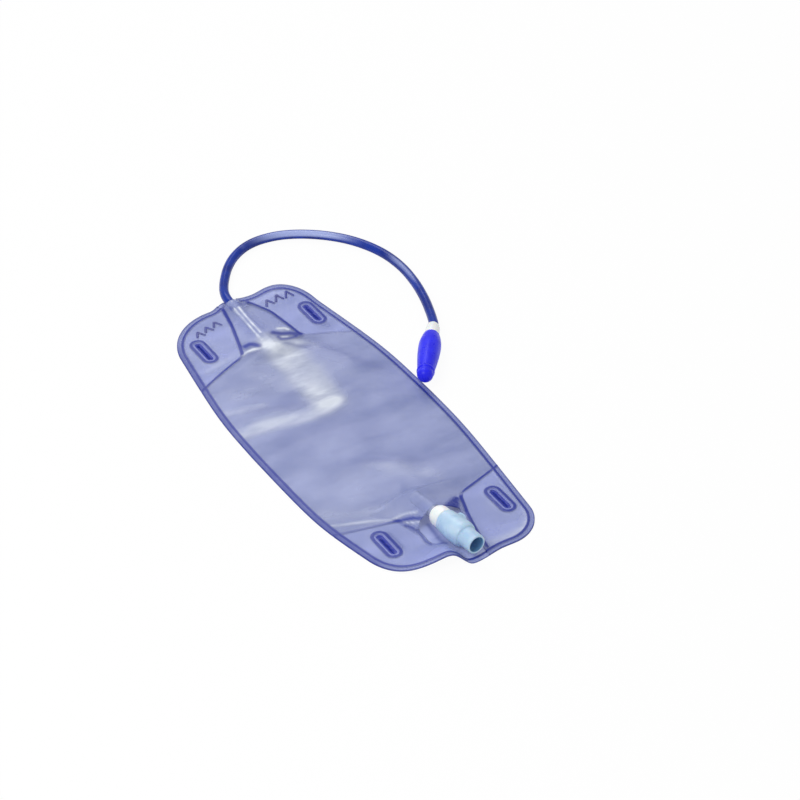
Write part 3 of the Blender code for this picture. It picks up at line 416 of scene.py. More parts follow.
def direction(azimuth, elevation):
    """The unit vector at an azimuth, turned from -Y towards +X, and an elevation."""
    flat = math.cos(elevation)
    return Vector((math.sin(azimuth) * flat, -math.cos(azimuth) * flat, math.sin(elevation)))


def axes_at(place, out, across):
    """A matrix at a place, with its Z along out and its X along across."""
    return Matrix.Translation(place) @ Matrix((across, out.cross(across), out)).transposed().to_4x4()


# Camera

TO_CAMERA = direction(CAMERA_AZIMUTH, CAMERA_ELEVATION)


def aim(obj, towards, away):
    """Puts a camera or a light so far from the middle of the picture, and faces it there."""
    obj.location = (Vector(CAMERA_TARGET) + away * towards) * MM
    obj.rotation_euler = (-towards).to_track_quat("-Z", "Y").to_euler()


def make_camera():
    data = bpy.data.cameras.new("camera")
    data.lens = CAMERA_LENS
    data.clip_start = 0.05
    camera = link("camera", data)
    aim(camera, TO_CAMERA, CAMERA_DISTANCE)
    bpy.context.scene.camera = camera


# Materials

def feed(tree, node, inputs):
    """Gives each named input of a node its value, or another node's output."""
    for key, value in inputs.items():
        if isinstance(value, bpy.types.NodeSocket):
            tree.links.new(value, node.inputs[key])
        else:
            node.inputs[key].default_value = value


def add_node(tree, kind, inputs=None, **settings):
    """A node with its settings and inputs."""
    node = tree.nodes.new("ShaderNode" + kind)
    for name, value in settings.items():
        setattr(node, name, value)
    feed(tree, node, inputs or {})
    return node


def new_material(name):
    material = bpy.data.materials.new(name)
    material.use_nodes = True
    tree = material.node_tree
    return material, tree, tree.nodes["Principled BSDF"]


def noise(tree, size, detail=2, roughness=0.5, stretch=1):
    """A noise pattern with blotches of about the given size in millimetres, or long streaks."""
    place = add_node(tree, "TexCoord").outputs["Object"]
    if stretch != 1:
        inputs = {"Vector": place, "Rotation": (0, 0, -CAMERA_AZIMUTH), "Scale": (1 / stretch, 1, 1)}
        place = add_node(tree, "Mapping", inputs).outputs["Vector"]
    inputs = {"Vector": place, "Scale": 1 / (size * MM), "Detail": detail, "Roughness": roughness}
    return add_node(tree, "TexNoise", inputs).outputs["Fac"]


def calculate(tree, operation, first, *others, clamp=False):
    """An operation on two values, or carried on over more of them."""
    for other in others:
        inputs = {0: first, 1: other}
        first = add_node(tree, "Math", inputs, operation=operation, use_clamp=clamp).outputs[0]
    return first


def remap(tree, value, low, high, to_low=0, to_high=1):
    inputs = {"Value": value, "From Min": low, "From Max": high, "To Min": to_low, "To Max": to_high}
    return add_node(tree, "MapRange", inputs, interpolation_type="SMOOTHSTEP").outputs[0]


def attribute(tree, name):
    return add_node(tree, "Attribute", attribute_name=name).outputs["Fac"]


def stripe(tree, value, middle, half, soft):
    """One inside a band of the value round its middle, fading to nothing over a soft edge."""
    off = calculate(tree, "ABSOLUTE", calculate(tree, "SUBTRACT", value, middle), 0)
    return remap(tree, off, half - 0.5 * soft, half + 0.5 * soft, 1, 0)


def mix(tree, share, first, second):
    """The first colour, covered by the given share of the second."""
    first, second = (linear(c) if isinstance(c, str) else c for c in (first, second))
    return add_node(tree, "Mix", {0: share, 6: first, 7: second}, data_type="RGBA").outputs[2]


def bump(tree, height, depth):
    """A bump of the given depth in millimetres."""
    return add_node(tree, "Bump", {"Height": height, "Distance": depth * MM}).outputs["Normal"]


BLOTCHES = (0.35, 0.65)             # the range of a noise that makes soft blotches
PATCHES = (0.3, 0.7)                # and softer patches
SHEEN = 0.05                        # how far the roughness strays in them
SCATTER = {"Subsurface Weight": 0.15, "Subsurface Scale": 0.001}

# Each plastic's dark and light tone, its roughness, its grain's size and depth, and what else it has
PLASTICS = {
    # Bright blue soft polyethylene, satin, with a little light inside it
    "soft_blue_polyethylene": ("#2626ee", "#2e30f8", 0.32, (0.5, 0.01), {"inputs": {
        "IOR": 1.49, "Specular IOR Level": 0.25, "Subsurface Weight": 0.25,
        "Subsurface Radius": (0.1, 0.1, 1), "Subsurface Scale": 0.001}}),
    # White polypropylene moulding, satin
    "white_polypropylene": ("#f3f9f8", "#fcfffe", 0.3, (0.6, 0.008), {"inputs": {"IOR": 1.49, **SCATTER}}),
    # Pale blue polypropylene moulding, satin, with painted shade inside its mouth
    "pale_blue_polypropylene": ("#aecdea", "#c0dcf2", 0.32, (0.6, 0.008), {
        "inputs": {"IOR": 1.49, **SCATTER}, "over": ("inside", "#6c9cc8")}),
    # Black nitrile rubber seal
    "black_nitrile_rubber": ("#0d0d0d", "#161616", 0.55, (0.2, 0.01), {"inputs": {"IOR": 1.49}}),
    # Vinyl film where a mark is pressed into it
    "pressed_blue_vinyl": ("#41468f", "#38429c", 0.35, (0.5, 0.01), {"inputs": {"IOR": 1.49}}),
    # Deep blue soft vinyl tube, extruded, glossy
    "deep_blue_vinyl": ("#122a86", "#1a389e", 0.21, (2.5, 0.03), {
        "blotch": 14, "patch": 5, "over": ("glare", "#b9c6f6"),
        "inputs": {"IOR": 1.53, "Specular IOR Level": 0.22}}),
    # Clear soft vinyl port, faintly blue, glossy
    "clear_vinyl_port": ("#b9c3ea", "#d6ddf6", 0.12, (3, 0.02), {
        "blotch": 8, "patch": None, "inputs": {"IOR": 1.53, "Alpha": 0.4}}),
    # Thin milky vinyl of the one-way sleeve, satin
    "milky_sleeve_vinyl": ("#c3cbea", "#dfe5f7", 0.3, (4, 0.03), {
        "blotch": 12, "detail": 3, "patch": None, "inputs": {"Alpha": 0.4}}),
}


def plastic(name):
    """One of the plastics: two close tones in soft blotches, gloss in patches, and a fine grain."""
    dark, light, rough, (grain, depth), more = PLASTICS[name]
    material, tree, shader = new_material(name)
    tone = noise(tree, more.get("blotch", 9), more.get("detail", 2))
    colour = mix(tree, remap(tree, tone, *BLOTCHES), dark, light)
    # A painted highlight or painted shade over the tones, where a piece gives a field for it
    if "over" in more:
        field, cover = more["over"]
        colour = mix(tree, attribute(tree, field), colour, cover)
    patch = more.get("patch", 3)
    if patch:
        rough = remap(tree, noise(tree, patch), *PATCHES, rough - SHEEN, rough + SHEEN)
    feed(tree, shader, {"Base Color": colour, "Roughness": rough,
                        "Normal": bump(tree, noise(tree, grain), depth), **more["inputs"]})
    return material


def film_material(name, clear, weld_alpha, slot_tint):
    """Blue-tinted clear vinyl film, gloss, with its pressed welds darker and tighter than the rest, and
    painted highlights and painted shade from its fields.
    """
    material, tree, shader = new_material(name)
    edge, shoulder, slot, painted_shade = (attribute(tree, field) for field in ("edge", "shoulder", "slot", "painted_shade"))

    cloud = remap(tree, noise(tree, 16, 3, 0.5, 2.5), 0.32, 0.66, 0.55, 1.25)
    painted_highlight = calculate(tree, "MULTIPLY", attribute(tree, "painted_highlight"), cloud, clamp=True)
    band = calculate(tree, "MULTIPLY", remap(tree, edge, 2.8, 3.8, 0.9, 0),
                     calculate(tree, "SUBTRACT", 1, painted_shade))
    rim = calculate(tree, "MULTIPLY", remap(tree, edge, 0.3, 0.8, 1, 0), 0.8)
    inner = stripe(tree, edge, RIM_LINE, 0.95, 0.7)
    shown = calculate(tree, "SUBTRACT", attribute(tree, "shoulder_on"), attribute(tree, "faint"), clamp=True)
    shoulders = calculate(tree, "MULTIPLY", stripe(tree, shoulder, 0, 0.9, 0.7), shown)
    sides = [stripe(tree, attribute(tree, field), 0, 1.3, 0.9) for field in ("left_weld", "right_weld")]
    channels = calculate(tree, "MULTIPLY", calculate(tree, "MAXIMUM", *sides),
                         attribute(tree, "channel_shown"))
    ring = stripe(tree, slot, 4.9, 1.25, 0.8)
    welds = calculate(tree, "MAXIMUM", rim, inner, shoulders, channels, ring)
    centre = calculate(tree, "MULTIPLY", remap(tree, slot, 2.2, 2.8, 1, 0), slot_tint)

    mottle = remap(tree, noise(tree, 22, 4, 0.55, 3), 0.36, 0.66)
    colour = mix(tree, remap(tree, shoulder, 0, 2), mix(tree, mottle, FILM_POUCH_DARK, FILM_POUCH),
                 mix(tree, mottle, FILM_TAB_DARK, FILM_TAB))
    # Painted highlights and painted shade go on first, then the welds and the slots
    for share, cover in ((painted_highlight, FILM_HIGHLIGHT_PALE), (painted_shade, FILM_SHADE_BLUE), (band, FILM_BAND),
                         (calculate(tree, "MULTIPLY", welds, 0.92), WELD_BLUE),
                         (stripe(tree, slot, 3, 0.55, 0.5), SLOT_LIGHT), (centre, SLOT_BLUE)):
        colour = mix(tree, share, colour, cover)

    solid = calculate(tree, "MAXIMUM", welds, centre, calculate(tree, "MULTIPLY", painted_highlight, 0.7), painted_shade)
    ripple = calculate(tree, "ADD", noise(tree, 11), calculate(tree, "MULTIPLY", noise(tree, 3), 0.15))
    feed(tree, shader, {
        "Base Color": colour, "Alpha": remap(tree, solid, 0, 1, clear, weld_alpha),
        "Roughness": remap(tree, noise(tree, 18), *BLOTCHES, 0.24, 0.34),
        "Normal": bump(tree, ripple, 0.25), "IOR": 1.53, "Specular IOR Level": 0.3})
    return material


# Plane curves of the bag

def ramp(t):
    """Zero, then a straight rise, with a rounded bend between."""
    return 0.5 * (t + np.sqrt(t * t + TAPER_BLEND ** 2))


def side_x(y, quarter):
    """Half width of the bag at height y: straight in the middle, then a straight taper."""
    straight = STRAIGHT_HALF + quarter[0]
    start = ramp(-straight)
    end = ramp(HALF_LENGTH - TAPER_FROM_END - straight)
    share = (ramp(np.abs(y) - straight) - start) / (end - start)
    return HALF_WIDTH - (HALF_WIDTH - END_HALF_WIDTH - quarter[1]) * share


def half_width(x, y):
    """Half width of the bag on the side and at the end where a point lies."""
    top = np.where(x > 0, side_x(y, TOP_RIGHT), side_x(y, TOP_LEFT))
    bottom = np.where(x > 0, side_x(y, BOTTOM_RIGHT), side_x(y, BOTTOM_LEFT))
    return np.where(y > 0, top, bottom)


def quarter_outline(quarter, count):
    """Even points from the middle of the right side, round a corner, to the middle of the end edge."""
    radius = CORNER_RADIUS + quarter[2]
    level = HALF_LENGTH - quarter[3]
    centre_y = level - radius
    first = math.atan((side_x(centre_y - 1, quarter) - side_x(centre_y + 1, quarter)) / 2)
    centre_x = side_x(centre_y + radius * math.sin(first), quarter) - radius * math.cos(first)
    ys = np.linspace(0, centre_y + radius * math.sin(first), 160)[:-1]
    turn = np.linspace(first, math.pi / 2, 80)
    corner = (centre_x, centre_y) + radius * np.column_stack([np.cos(turn), np.sin(turn)])
    xs = np.linspace(centre_x, 0, 80)[1:]
    lobe = HALF_LENGTH + END_BULGE - level
    end = np.column_stack([xs, level + lobe * (1 - smooth(xs / min(BULGE_HALF_WIDTH, centre_x)))])
    return resample(np.concatenate([np.column_stack([side_x(ys, quarter), ys]), corner, end]), count)


def shoulder_level(x, end):
    """Height of the shoulder weld of the top end, 1, or the bottom end, -1."""
    drop, power = SHOULDER_TOP if end > 0 else SHOULDER_BOTTOM
    level = SHOULDER_Y - drop * (np.abs(x - DIE_X) / SHOULDER_REACH) ** power
    return level if end > 0 else -level + SHOULDER_SKEW_BOTTOM * (x - DIE_X)


def channel_sides(y):
    """Where the left and right channel welds run, their bends eased. They widen into the pouch."""
    sides = [0, 0]
    for shift in (-1, -0.5, 0, 0.5, 1):
        from_end = HALF_LENGTH - np.abs(y) + shift * CHANNEL_EASE
        for k, sign in enumerate((-1, 1)):
            ends = []
            for table in (CHANNEL_TOP, CHANNEL_BOTTOM):
                place, *welds = np.array(table, float).T
                flare = CHANNEL_FLARE * np.maximum(from_end - place[0], 0)
                ends.append(np.interp(-from_end, -place, welds[k]) + sign * flare)
            sides[k] = sides[k] + 0.2 * np.where(y > 0, *ends)
    return sides


def valve_x(y):
    """The valve's axis from above: a straight line, turned by its swing."""
    return VALVE_X + (VALVE_Y - y) * math.tan(VALVE_SWING)


def valve_z(y):
    """Height of the valve's axis: a straight line that rises at its tilt."""
    return VALVE_Z + (VALVE_Y - y) * math.tan(VALVE_TILT)


def slot_centres():
    return [(DIE_X + sx * SLOT_X, sy * SLOT_Y) for sx in (-1, 1) for sy in (-1, 1)]


def slot_distance(points):
    """Distance to the nearest slot's centre line."""
    lines = [[(x, y - SLOT_HALF), (x, y + SLOT_HALF)] for x, y in slot_centres()]
    return np.min([distance(points, line) for line in lines], axis=0)


def slot_loop(centre, radius):
    """A slot's outline: a half circle at each end of its centre line."""
    turn = np.linspace(0, math.pi, 24)
    cap = np.column_stack([radius * np.cos(turn), SLOT_HALF + radius * np.sin(turn)])
    return np.concatenate([cap, -cap]) + centre


# Fields over the bag: signed distances in mm for crisp welds, and soft patches for folds, painted highlights
# and painted shade

def weld_fields(points):
    """Signed distances to the welds, square to them, and where each weld is on."""
    x, y = points.T
    step = 0.5
    top = y > 0
    level, beyond = (np.where(top, shoulder_level(at, 1), shoulder_level(at, -1)) for at in (x, x + step))
    shoulder = np.where(top, y - level, level - y) / np.sqrt(1 + ((beyond - level) / step) ** 2)
    here, there = channel_sides(y), channel_sides(y + step)
    on = smooth(0.5 + np.maximum(here[0] - x, x - here[1]) / 1.5)
    faint = np.where(top, 0.7 * eased(x, 24, 8), 0.45 * eased(-x, 22, 8))
    fields = {"shoulder": shoulder, "shoulder_on": on, "faint": faint, "slot": slot_distance(points)}
    for name, a, b in zip(("left_weld", "right_weld"), here, there):
        fields[name] = (x - a) / np.sqrt(1 + ((b - a) / step) ** 2)
    from_end = HALF_LENGTH - np.abs(y)
    inner = np.where(top, CHANNEL_TOP[0][0], CHANNEL_BOTTOM[0][0])
    fields["channel_on"] = eased(inner - from_end, -1, 2) * eased(from_end, 2, 1.5)
    fading = np.where(top | (x > 0), 0, 0.55 + 0.4 * eased(-from_end, -45, 10))
    fields["channel_shown"] = fields["channel_on"] * (1 - fading)
    return fields


def blot(points, centre, reach):
    """A soft elliptic patch: one in the middle, fading outwards."""
    return np.exp(-np.linalg.norm((points - centre) / reach, axis=1) ** 3)


def streak(points, path, width, power=2):
    """A soft band along a path."""
    line, _ = resample(np.array(path, float), 24)
    return np.exp(-(distance(points, line) / width) ** power)


# Folds of the slack front film: path, half width and height
FOLDS = [
    ([(-66, 30), (-45, 27.2), (-22, 24.5), (-5, 24.2), (6, 25.6), (24, 28.5)], 4.2, 1.1),
    ([(-64, 57), (-52, 52.5), (-38, 46)], 3, 0.7),
    ([(-46, 66), (-28, 49), (-8, 33)], 4.5, 0.6),
    ([(11, 103), (20, 92), (30, 82), (40, 62)], 4, 0.9),
    ([(-12, 106), (-18, 95), (-24, 80)], 3.5, 0.6),
    ([(-12, -40), (2, -46), (14, -56)], 4.5, 0.7),
    ([(6, -58), (9, -72), (11, -84)], 5, 0.7),
    ([(-58, -89), (-42, -93.5), (-24, -98)], 3.2, 0.6),
    ([(-22, -98), (-12, -92), (-4, -80)], 3.5, 0.5),
    ([(30, -60), (36, -30), (33, 0)], 8, 0.5),
]

# Pale patches where the gloss catches the light: path, half width, strength, and the power of their fall
# where it isn't 2. The places are those of the bag's plane, as the camera shows it.
PALE_STREAKS = [
    ([(-66, 27.5), (-55, 27.2), (-42, 25.5), (-29, 23.2), (-16, 21), (-2, 21.5), (8, 26)], 7, 0.46, 3),
    ([(-48, 33), (-30, 31), (-12, 28), (4, 28)], 7.5, 0.22),
    ([(9.5, 104), (9, 90), (7.2, 70), (6, 50), (4.5, 33)], 14.6, 0.48, 4),
    ([(-1, 94), (-1, 80), (0, 60), (2, 40)], 7.5, 0.2),
    ([(-26, 84), (-18, 74), (-12, 62)], 8, 0.2),
    ([(12, 148), (15, 132), (18, 119)], 5, 0.22),
    ([(1, 112), (4, 103), (8, 92), (10, 86)], 7.5, 0.42),
    ([(-16, 92), (-5, 86)], 6, 0.22),
    ([(-62, 53), (-50, 50), (-36, 47.3)], 3.6, 0.3),
    ([(-46, 68), (-30, 62), (-14, 58)], 8, 0.2),
    ([(-20, 104.9), (-15, 106.3), (-10, 106.2), (-6.4, 105.4)], 1.6, 0.9),
    ([(-50, 101), (-34, 105), (-20, 109)], 3, 0.25),
    ([(17, 118.6), (21.3, 116.4), (22.4, 114)], 1.3, 0.8),
    ([(13.5, 109.2), (17.4, 106.9)], 1.2, 0.7),
    ([(21, 97), (27, 93), (30, 87)], 3, 0.32),
    ([(-1, 106), (4.7, 108.2), (7, 99), (7, 95)], 3.5, 0.3),
    ([(26, 66), (34, 50), (38, 34)], 9, 0.1),
    ([(-18.7, -109.1), (-14.4, -111.8), (-8.3, -114.6)], 1.4, 0.6),
    ([(-22, -102.4), (-17.5, -101.6), (-12, -102), (-7, -103.6)], 1.6, 0.5),
    ([(-62, -87.5), (-38, -96.3), (-28, -101.2), (-23, -103)], 1.6, 0.5),
    ([(-60, -76), (-42, -84), (-24, -92)], 8, 0.2),
    ([(-8, -46), (2, -52), (12, -57)], 4.5, 0.16),
    ([(2, -58), (12, -64), (20, -72), (24, -80)], 7, 0.24),
    ([(20, -156.5), (34, -157.2), (46, -155), (55, -147)], 4.5, 0.5),
    ([(20, 154), (36, 157), (50, 152)], 2.5, 0.2),
    ([(-8, 150), (-10, 130), (-12, 114)], 6, 0.2),
    ([(2.6, 155), (2.4, 145), (1.8, 133), (1.2, 122), (0.8, 113.5)], 0.95, 0.95),
    ([(6.2, 154.7), (5.3, 144.5), (4.8, 134.4), (4.8, 126), (4.5, 121)], 0.95, 0.95),
]

# Lower left edge of the valve's opening, and the line where the valve body meets the film: both painted dark
# on the films as painted shade, the second as a painted contact shadow
OPENING_EDGE = [(-21, -112.5), (-17.5, -116), (-16.4, -121), (-16.7, -127), (-17.6, -132.5), (-16.3, -137),
                (-13.8, -140), (-10, -140.5)]
BODY_FOOT = [(-7.1, -118.8), (-7.9, -128), (-9, -136.5), (-7.5, -142)]

# Painted shade, given like the pale patches: dark where folds are seen edge on, in the gaps at the weld
# corners, and a painted shadow under the lobe
DARK_STREAKS = [
    ([(-48, 48), (-35, 43), (-22, 38), (-10, 34)], 4.5, 0.2),
    ([(31, 92), (38, 76), (46, 58), (53, 44)], 6, 0.2),
    ([(-13, 112.5), (-9, 112.8), (-6.4, 111), (-5, 108.6)], 3, 0.9, 3),
    ([(11.8, 116), (16, 111.8), (21.3, 109.4), (27, 104.6)], 2.7, 0.9, 3),
    ([(12.3, 109.8), (12.8, 106.2), (16.7, 104.4), (22.8, 103.6)], 1.6, 0.85),
    ([(7.8, 153.3), (6.9, 142.3), (6.6, 130.5), (7.3, 124.8)], 0.6, 0.3),
    ([(13, 101), (17, 95.8), (25, 87.5)], 1.6, 0.28),
    ([(-17.2, 102.7), (-10, 102.7), (-5, 104.4)], 1.4, 0.25),
    ([(-1.4, 158.6), (0.8, 156.4)], 1.5, 0.8),
    ([(9, 157.6), (13.7, 156.8)], 1.6, 0.75),
    ([(-23.7, -105), (-20, -105.9), (-16.3, -107), (-10.9, -108.4), (-7.2, -111.4)], 2.1, 0.9, 3),
    ([(-15.5, -103.6), (-10.7, -105.4)], 1, 0.35),
    (OPENING_EDGE[:6], 1.2, 0.6),
    ([(-14, -38), (0, -44), (12, -52), (26, -60)], 3.6, 0.18),
    ([(-6.4, -154), (-4.5, -158.2), (4, -161.5), (9, -160)], 2.2, 0.7),
    ([(9.6, -109.5), (16, -107.6), (22, -105.6)], 2.2, 0.9, 3),
    ([(12.5, -113), (19, -109.5), (22.5, -107.5)], 2.4, 0.95, 3),
    ([(15.5, -117.5), (20, -111.5)], 1.8, 0.9, 3),
    ([(44, 111), (47, 107), (49, 104)], 4, 0.3),
    ([(-34.5, -113), (-34.5, -129)], 2.2, 0.45),
    ([(-44, 4), (-16, 1), (4, -4), (18, -12)], 10, 0.12),
    ([(-6, -14), (10, -18)], 9, 0.08),
]

# Painted highlights as well: pale patches, soft and round: centre, reach and strength
PALE_BLOTS = [
    ((2, 36), (13, 9), 0.16),
    ((-40, 120), (22, 18), 0.14),
    ((44, -132), (20, 24), 0.16),
    ((-34, -62), (24, 20), 0.12),
]


def shown_on_plane(points):
    """Where each point of the front film stands before the bag's plane, as the photo shows it."""
    up = top_height(points) - PLANE
    return points - up[:, None] * np.array(TO_CAMERA.xy) / TO_CAMERA.z


def patches(points):
    """The painted highlight share and the painted shade share at each point."""
    points = shown_on_plane(points)
    pale, dark = (sum(share * streak(points, path, width, *power) for path, width, share, *power in table)
                  for table in (PALE_STREAKS, DARK_STREAKS))
    pale = pale + sum(share * blot(points, centre, reach) for centre, reach, share in PALE_BLOTS)
    return np.clip(pale, 0, 1), np.clip(dark, 0, 1)


# Heights of the films

def lift(x, y):
    """What lifts both films: the curled tab, the raised corner and the rise under the outlet port.

    The first two are a height times an S-curve along the bag and one or two across it. The third is a
    bell curve across the valve's axis, with an S-curve at each end.
    """
    curl = eased(-y, *CURL_ALONG) * eased(x, *CURL_OUTER) * eased(-x, *CURL_INNER)
    corner = eased(y, *CORNER_ALONG) * eased(x, *CORNER_ACROSS)
    port = np.exp(-((x - valve_x(y)) / PORT_LIFT_SPREAD) ** 2)
    port *= eased(y, OUTLET_OUTER_Y, PORT_LIFT_RUN)
    port *= eased(-y, -OUTLET_INNER_Y - PORT_LIFT_LEAD, PORT_LIFT_RUN)
    return CURL_HEIGHT * curl + CORNER_LIFT * corner + PORT_LIFT * port


def relief(points, edge, rise):
    """Rounded beads on every weld, and the lands round the slots."""
    fields = weld_fields(points)
    off_channel = np.minimum(np.abs(fields["left_weld"]), np.abs(fields["right_weld"]))
    beads = [np.exp(-((edge - WELD_INSET) / BEAD_SPREAD) ** 2),
             np.exp(-(fields["shoulder"] / BEAD_SPREAD) ** 2) * fields["shoulder_on"],
             np.exp(-(off_channel / BEAD_SPREAD) ** 2) * fields["channel_on"],
             np.exp(-((fields["slot"] - SLOT_RING) / BEAD_SPREAD) ** 2)]
    land = LAND_HEIGHT * eased(-fields["slot"], -LAND_FOOT, LAND_FOOT - LAND_TOP)
    return np.maximum(rise * np.max(beads, axis=0), land)


def crown(x, y):
    """The pouch's swell: one less the square of the way out to its sides and its ends, flattened."""
    across = np.clip(1 - (x / (half_width(x, y) - WELD_INSET)) ** 2, 0, 1)
    reach = np.where(y > 0, shoulder_level(x, 1), -shoulder_level(x, -1))
    along = np.clip(1 - (y / reach) ** 2, 0, 1)
    return POUCH_CROWN * across ** 0.75 * along ** 0.75


def tent(x, left, right, centre, radius):
    """Film drawn over a round port: an arc over the top, then straight down to a weld on each side."""
    width = np.where(x < 0, left, right)
    reach = np.sqrt(width ** 2 + centre ** 2)
    slope = np.arctan2(centre, width) + np.arcsin(np.clip(radius / reach, 0, 0.99))
    straight = (width - np.abs(x)) * np.tan(slope)
    over = centre + np.sqrt(np.maximum(radius ** 2 - x ** 2, 0))
    return np.where(np.abs(x) < radius * np.sin(slope), over, np.maximum(straight, 0))


def slack(points):
    """Folds of the loose film inside the pouch, and three slow waves of sines across and along it."""
    x, y = points.T
    loose = smooth(crown(x, y) / 1.6)
    folds = sum(height * streak(points, path, width) for path, width, height in FOLDS)
    waves = (0.22 * np.sin(0.13 * x + 0.05 * y + 0.6) * np.sin(0.075 * y - 0.02 * x)
             + 0.12 * np.sin(0.21 * x - 0.11 * y) + 0.10 * np.sin(0.09 * x + 0.19 * y + 2))
    return loose * (folds + waves)


def front_height(points, edge):
    """Underside of the front film: the lift, the higher of the crown and the rises over the ports, the
    slack and the beads."""
    x, y = points.T
    raised = lift(x, y)
    left, right = channel_sides(y)
    clear = TUBE_RADIUS + 2 * GAP + SLEEVE_FILM
    inlet = tent(x - INLET_X, INLET_X - left, right - INLET_X, INLET_Z - FRONT_BASE, clear)
    inlet = inlet * eased(y, PORT_INNER_Y - TENT_LEAD, TENT_RUN)
    inlet = inlet * (1 - eased(-edge, *INLET_EDGE) * eased(np.abs(x - INLET_X), *INLET_SIDE))
    middle = valve_x(y)
    outlet = tent(x - middle, middle - left, right - middle, valve_z(y) - FRONT_BASE - raised,
                  OUTLET_RADIUS + GAP + TENT_EASE)
    outlet = outlet * eased(-y, -OUTLET_INNER_Y - TENT_LEAD, TENT_RUN) * (y > OUTLET_OUTER_Y - TENT_STOP)
    dome = smooth_max(crown(x, y), np.maximum(inlet, outlet))
    return FRONT_BASE + raised + dome + slack(points) + relief(points, edge, BEAD_HEIGHT)


def top_height(points):
    """Upper face of the front film, away from its edge."""
    return front_height(points, np.full(len(points), WELL_INSIDE)) + FILM


def back_height(points, edge):
    """Underside of the back film: flat on the surface, with shallow weld grooves."""
    return lift(*points.T) + relief(points, edge, BACK_BEAD_HEIGHT)


# Film meshes

def ring_grid():
    """Points in rings from the outline inwards to a line down the middle, their edge distances, faces.

    The outer rings follow the outline along its inward normal. The others run straight to a place on
    the middle line that moves outwards more slowly than the outline does.
    """
    quarters = [quarter_outline(q, QUARTER_POINTS) for q in (TOP_RIGHT, TOP_LEFT, BOTTOM_LEFT, BOTTOM_RIGHT)]
    top_right, top_left, bottom_left, bottom_right = [points for points, _ in quarters]
    levels = []
    for first, second in (quarters[:2], quarters[2:]):
        mean = 0.5 * (first[1] + second[1])
        levels.append(SPINE * (1 - np.exp(-mean / SPINE)) / (1 - math.exp(-mean[-1] / SPINE)))
    top, bottom = levels
    loop = np.concatenate([top_right, (top_left * (-1, 1))[-2::-1], (bottom_left * (-1, -1))[1:],
                           (bottom_right * (1, -1))[-2:0:-1]])
    spine = np.concatenate([top, top[-2::-1], -bottom[1:], -bottom[-2:0:-1]])
    along = np.roll(loop, -1, axis=0) - np.roll(loop, 1, axis=0)
    inward = unit(np.column_stack([-along[:, 1], along[:, 0]]))
    rows = [loop + inset * inward for inset in BAND_ROWS]
    target = np.column_stack([np.zeros(len(loop)), spine])
    share = np.linspace(0, 1, INNER_ROWS + 1)[1:]
    rows += [rows[len(BAND_ROWS) - 1] * (1 - t) + target * t for t in share]
    edge = np.concatenate([BAND_ROWS, BAND_ROWS[-1] + 50 * share])
    return weld(np.concatenate(rows), np.repeat(edge, len(loop)), grid_faces(len(rows), len(loop)))


def weld(points, edges, faces):
    """Merges points at one place, and drops faces that close up."""
    _, first, index = np.unique(np.round(points, 4), axis=0, return_index=True, return_inverse=True)
    faces = index.reshape(-1)[faces]
    a, b, c = faces.T
    faces = faces[(a != b) & (b != c) & (a != c)]
    return points[first], edges[first], faces


def cut(points, faces, loop):
    """Takes the inside of a loop out of a film, with the nearest points drawn onto the loop."""
    low, high = loop.min(axis=0) - 3, loop.max(axis=0) + 3
    near = np.flatnonzero(((points > low) & (points < high)).all(axis=1))
    places = nearest(points[near], loop)
    off = np.linalg.norm(points[near] - places, axis=1)
    points = points.copy()
    points[near[off < SNAP]] = places[off < SNAP]
    middle = points[faces].mean(axis=1)
    return points, faces[~inside(middle, loop) & looking_up(points, faces)]


def looking_up(points, faces):
    """Which faces still look up: those whose signed area in the plane is above nothing."""
    a, b, c = points[faces].transpose(1, 0, 2)
    area = (b[:, 0] - a[:, 0]) * (c[:, 1] - a[:, 1]) - (b[:, 1] - a[:, 1]) * (c[:, 0] - a[:, 0])
    return area > 1e-4


def slit(points, faces, centre):
    """Cuts a slit: the faces wholly inside it go, then its two edges are drawn nearly together."""
    points, _ = cut(points, faces, slot_loop(centre, SLIT_RADIUS))
    along = np.clip(points[:, 1], centre[1] - SLOT_HALF, centre[1] + SLOT_HALF)
    axis = np.column_stack([np.full(len(points), centre[0]), along])
    off = points - axis
    reach = np.linalg.norm(off, axis=1)
    within = reach < SLIT_RADIUS + 0.02
    share = np.where(within, SLIT_LEFT / np.maximum(reach, 1e-9), 1)
    drawn = axis + off * share[:, None]
    faces = faces[~within[faces].all(axis=1)]
    return drawn, faces[looking_up(drawn, faces)]


def notch_loop():
    """Edge of the front film's notch at the inlet, an ellipse."""
    turn = full_turn(72)
    return np.column_stack([INLET_X + NOTCH[0] * np.cos(turn),
                            HALF_LENGTH + END_BULGE + NOTCH[1] * np.sin(turn)])


def opening_loop():
    """Edge of the front film round the drain valve, closed below the bag's end."""
    place, *sides = np.array(CHANNEL_BOTTOM[2:], float).T
    top = VALVE_Y + DOME_BACK + 1.6
    halves = []
    for side, inwards in zip(sides, (1, -1)):
        edge = side[::-1] + inwards * 2.6
        x = np.array([edge[0], *edge, edge[-1] + inwards * 3, DIE_X - inwards * 6])
        y = np.array([-HALF_LENGTH - 12, *(place[::-1] - HALF_LENGTH), top - 0.6, top])
        halves.append(np.column_stack([x, y]))
    return rounded(np.concatenate([halves[0], halves[1][::-1]]), 3, True)


def film_piece(name, node, plane, height, faces, thickness, material, fields):
    """A film from points of the plane, their heights, its thickness, and its fields as attributes."""
    used, index = np.unique(faces, return_inverse=True)
    points = np.column_stack([plane, height])[used]
    mesh = raw_mesh(name, points, index.reshape(faces.shape))
    for field, values in fields.items():
        add_field(mesh, field, values[used])
    shell = add_object(name, mesh, material, "bag", node).modifiers.new("Thickness", "SOLIDIFY")
    shell.thickness = thickness * MM
    shell.offset = 1


